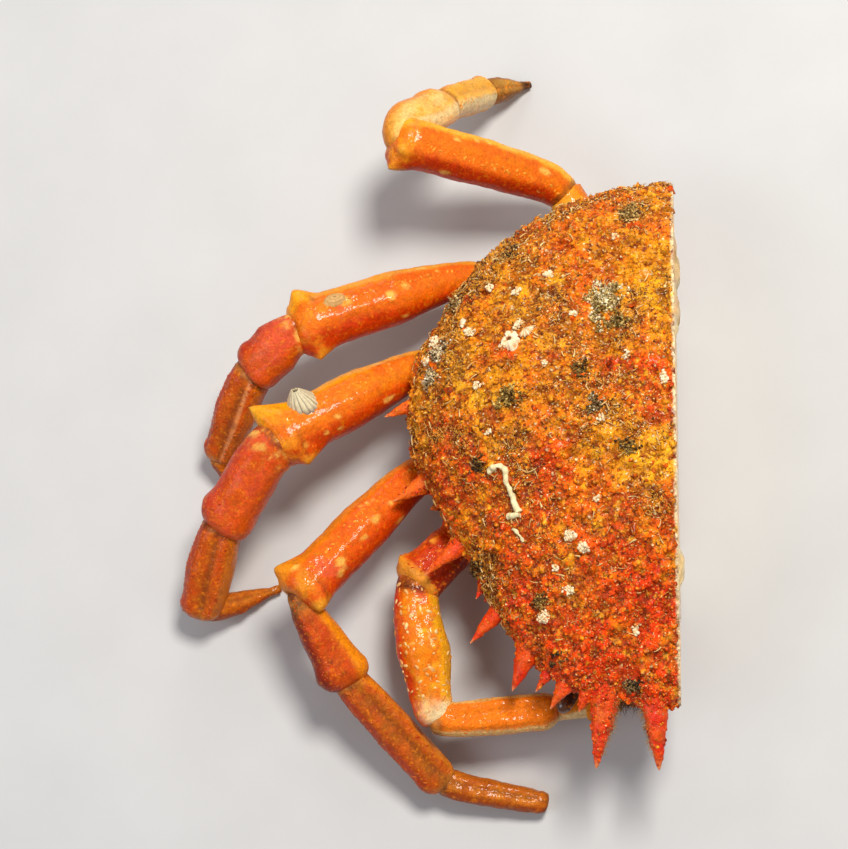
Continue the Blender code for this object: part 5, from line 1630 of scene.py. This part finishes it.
def buildSternum():
    columns = 160
    angles, radii = rimRadii(columns)
    foot = footShare(angles)
    made = Shape()
    topZ = body["underZ"] - body["gap"]
    # top face and rounded edge, then the flat underside inwards to the tail flap's recess
    levels = [(s, topZ) for s in (0.4, 0.7, 1.0)]
    levels += [(1.035, 4.2), (1.052, 3.4), (1.04, 2.3), (1.0, 1.15), (0.955, 0.5), (0.9, 0.12)]
    levels += [(s, 0.0) for s in np.linspace(0.86, 0.06, 42)]
    grid = np.array([fromMiddle(share * foot * radii, angles, height) for share, height in levels])
    x, y = grid[..., 0], grid[..., 1]
    below = np.zeros(len(levels))
    below[7:] = 1.0
    # seams between the plates run outwards from the middle
    seam = np.abs((y - 0.45 * (y - 14.0) * smooth(0, -40, x) + 4.0) / 16.0)
    seam = np.abs(seam - np.round(seam)) * 16.0
    groove = 0.7 * np.exp(-(seam / 0.9) ** 2) * smooth(-13.0, -17.0, x)
    bumps = 0.25 * (0.5 + 0.5 * rough(grid, 3.5, 111))
    inFlap = smooth(-15.6, -15.0, x) * smooth(-12.6, -12.0, y) * smooth(54.6, 54.0, y)
    tip = np.hypot(x / 15.3, np.minimum(y - 34.0, 0.0) / 46.3)
    inFlap = inFlap * smooth(1.0, 0.97, tip)
    outer = smooth(0.93, 0.97, np.array([s for s, _ in levels]))[:, None]
    grid[..., 2] += below[:, None] * (groove + bumps * outer + 2.5 * inFlap)
    grid[:, [0, -1], 0] = 0.0
    tone = mixed("#D98A48", "#EDC890", 0.5 + 0.6 * rough(grid, 9.0, 112))
    tone = mixed(tone, "#C4541C", 0.55 * smooth(0.0, 0.6, rough(grid, 5.0, 113)))
    tone = mixed(tone, "#7A4420", 0.7 * below[:, None] * np.clip(groove, 0, 1))
    made.add(grid, [gridFaces(*grid.shape[:2])], tone)
    for row, turned in ((0, True), (-1, False)):  # its top and its underside close towards the middle
        ring = np.concatenate([grid[row], [[0.0, shell["centreY"], grid[row, :, 2].mean()]]])
        faces = fanFaces(np.arange(columns + 1), columns + 1, closed=False, turned=turned)
        made.add(ring, [faces], "#D98A48")
    # the plate's section at the cut
    foot = np.concatenate([grid[3:, 0], grid[:2:-1, -1]])
    above = np.stack([0.0 * foot[:, 0], np.clip(foot[:, 1], grid[2, -1, 1], grid[2, 0, 1]),
                      np.full(len(foot), topZ)], -1)
    rind = foot + np.minimum(0.8, 0.8 * (above - foot)[:, 2:]) * np.array([0.0, 0.0, 1.0])
    tones = np.repeat([meat["white"], meat["white"], linear("#E8A860"), linear("#E8A860")], len(foot), axis=0)
    made.add(np.concatenate([above, rind + (0.0, 0.0, 0.05), rind, foot]), [gridFaces(4, len(foot))], tones)
    made.piece("sternumPlates", legChitin, "sternum", ("sternum",))


def buildTailFlap():
    rows, columns = 120, 40
    share = np.linspace(0.0, 1.0, rows)
    y = body["flapTipY"] + share * (body["flapRootY"] - body["flapTipY"])
    tipRound = np.sqrt(np.clip(1.0 - (np.minimum(y - 34.0, 0.0) / 46.0) ** 2, 0.0, 1.0)) ** 0.9
    width = body["flapHalf"] * np.maximum(tipRound, 0.02)
    across = np.linspace(0.0, 1.0, columns)
    x = -0.12 - width[:, None] * across[None]
    seam = np.abs(share * 6.0 - np.round(share * 6.0)) / 6.0 * 76.0
    y = y[:, None] + 0 * x
    low = (0.25 + 0.8 * np.exp(-(seam / 0.7) ** 2)[:, None] + 1.2 * smooth(0.9, 1.0, across)[None]
           + 0.25 * smooth(0.12, 0.0, across)[None])
    under = np.stack([x, y, low + 0.15 * rough(np.stack([x, y, 0 * x], -1), 3.0, 121)], -1)
    over = np.stack([x, y, body["flapTop"] + 0 * x], -1)
    made = Shape()
    tone = mixed("#DB8F4E", "#F0CF9C", 0.5 + 0.6 * rough(under, 7.0, 122))
    tone = mixed(tone, "#9A5626", 0.6 * np.exp(-(seam / 0.8) ** 2)[:, None] * np.ones((1, columns)))
    made.add(under, [gridFaces(rows, columns, turned=True)], tone)
    made.add(over, [gridFaces(rows, columns)], "#E2B983")
    for spot, turned in (((slice(None), 0), False), ((slice(None), -1), True), ((0,), True), ((-1,), False)):
        line = np.concatenate([under[spot], over[spot]])  # a band closes each of the four sides
        made.add(line, [gridFaces(2, len(line) // 2, turned=turned)], "#EBCF9F")
    made.piece("tailFlap", legChitin, "sternum", ("tail_flap",))


buildSternum()
buildTailFlap()
print("flesh and underside made")


# floor, light and camera

studio = {
    "floorSize": 6.0,
    "floorZ": -0.0002,
    "world": 0.30,
    "aim": (0.0, 0.0, 0.03),
    # place and disk size in metres, power and tint
    "lights": {
        "keyLight": ((0.30, 0.40, 1.15), 0.36, 15.0, "#FFFAF2"),
        "fillLight": ((-0.7, -0.3, 0.9), 0.7, 3.2, "#F4F7FF"),
        "rimLight": ((0.0, 0.9, 0.5), 0.4, 1.4, "#FFFFFF"),
    },
}


def buildFloor():
    # Pale counter: satin paint on board. Gives soft shadows and no mirror image.
    material, tree = newMaterial("paleCounter")
    spot = addNode(tree, "ShaderNodeTexCoord").outputs["Object"]
    noise = addNode(tree, "ShaderNodeTexNoise", {"Scale": 30.0, "Detail": 3.0}, {"Vector": spot})
    tone = addNode(tree, "ShaderNodeMapRange", {**middling, "To Min": 0.555, "To Max": 0.585},
                   {"Value": noise.outputs["Fac"]})
    shader = addNode(tree, "ShaderNodeBsdfPrincipled", {"Roughness": 0.6},
                     {"Base Color": tone.outputs["Result"]})
    addNode(tree, "ShaderNodeOutputMaterial", None, {"Surface": shader.outputs["BSDF"]})
    half, z = studio["floorSize"] / 2.0, studio["floorZ"]
    mesh = bpy.data.meshes.new("floor")
    corners = [(-half, -half, z), (half, -half, z), (half, half, z), (-half, half, z)]
    mesh.from_pydata(corners, [], [(0, 1, 2, 3)])
    mesh.materials.append(material)
    floor = bpy.data.objects.new("floor", mesh)
    bpy.context.scene.collection.objects.link(floor)


def buildLights():
    world = bpy.data.worlds.new("softRoom")
    world.use_nodes = True
    background = world.node_tree.nodes["Background"]
    background.inputs["Color"].default_value = (*linear("#F4F6FA"), 1.0)
    background.inputs["Strength"].default_value = studio["world"]
    bpy.context.scene.world = world
    aim = Vector(studio["aim"])
    for name, (spot, size, power, tint) in studio["lights"].items():
        light = bpy.data.lights.new(name, "AREA")
        light.shape = "DISK"
        light.size = size
        light.energy = power
        light.color = linear(tint)
        lamp = bpy.data.objects.new(name, light)
        lamp.location = spot
        lamp.rotation_euler = (aim - Vector(spot)).to_track_quat("-Z", "Y").to_euler()
        bpy.context.scene.collection.objects.link(lamp)


view = {"standoff": 0.9, "elevation": 80.0, "acrossFromCut": 0.008, "fillShare": 0.9, "sensor": 36.0}


def buildCamera():
    # over the middle of the whole crab, looking at this half, with the tail end up in the picture
    camera = bpy.data.cameras.new("camera")
    eye = bpy.data.objects.new("camera", camera)
    bpy.context.scene.collection.objects.link(eye)
    lift = math.radians(view["elevation"])
    # the stand is worked out from the dome's middle on the cut
    foot = frameShift + np.array([view["acrossFromCut"], 0.0, 0.03])
    spot = foot + view["standoff"] * np.array([0.0, -math.cos(lift), math.sin(lift)])
    aim = np.array([(cadLow.x + cadHigh.x) / 2.0, (cadLow.y + cadHigh.y) / 2.0, 0.028])
    ahead = unit(aim - spot)
    right = unit(np.cross(ahead, (0.0, 1.0, 0.0)))
    up = np.cross(right, ahead)
    turned = Matrix((right, up, -ahead)).transposed().to_4x4()
    eye.matrix_world = Matrix.Translation(Vector(spot)) @ turned
    camera.sensor_width = view["sensor"]
    distance = float(np.linalg.norm(aim - spot))
    camera.lens = view["sensor"] * view["fillShare"] * distance / (cadHigh.y - cadLow.y)
    camera.clip_start, camera.clip_end = 0.01, 20.0
    bpy.context.scene.camera = eye


buildFloor()
buildLights()
buildCamera()
print("studio made")
bpy.context.scene.view_settings.view_transform = "Standard"
bpy.context.scene.view_settings.look = "None"

bpy.context.view_layer.update()
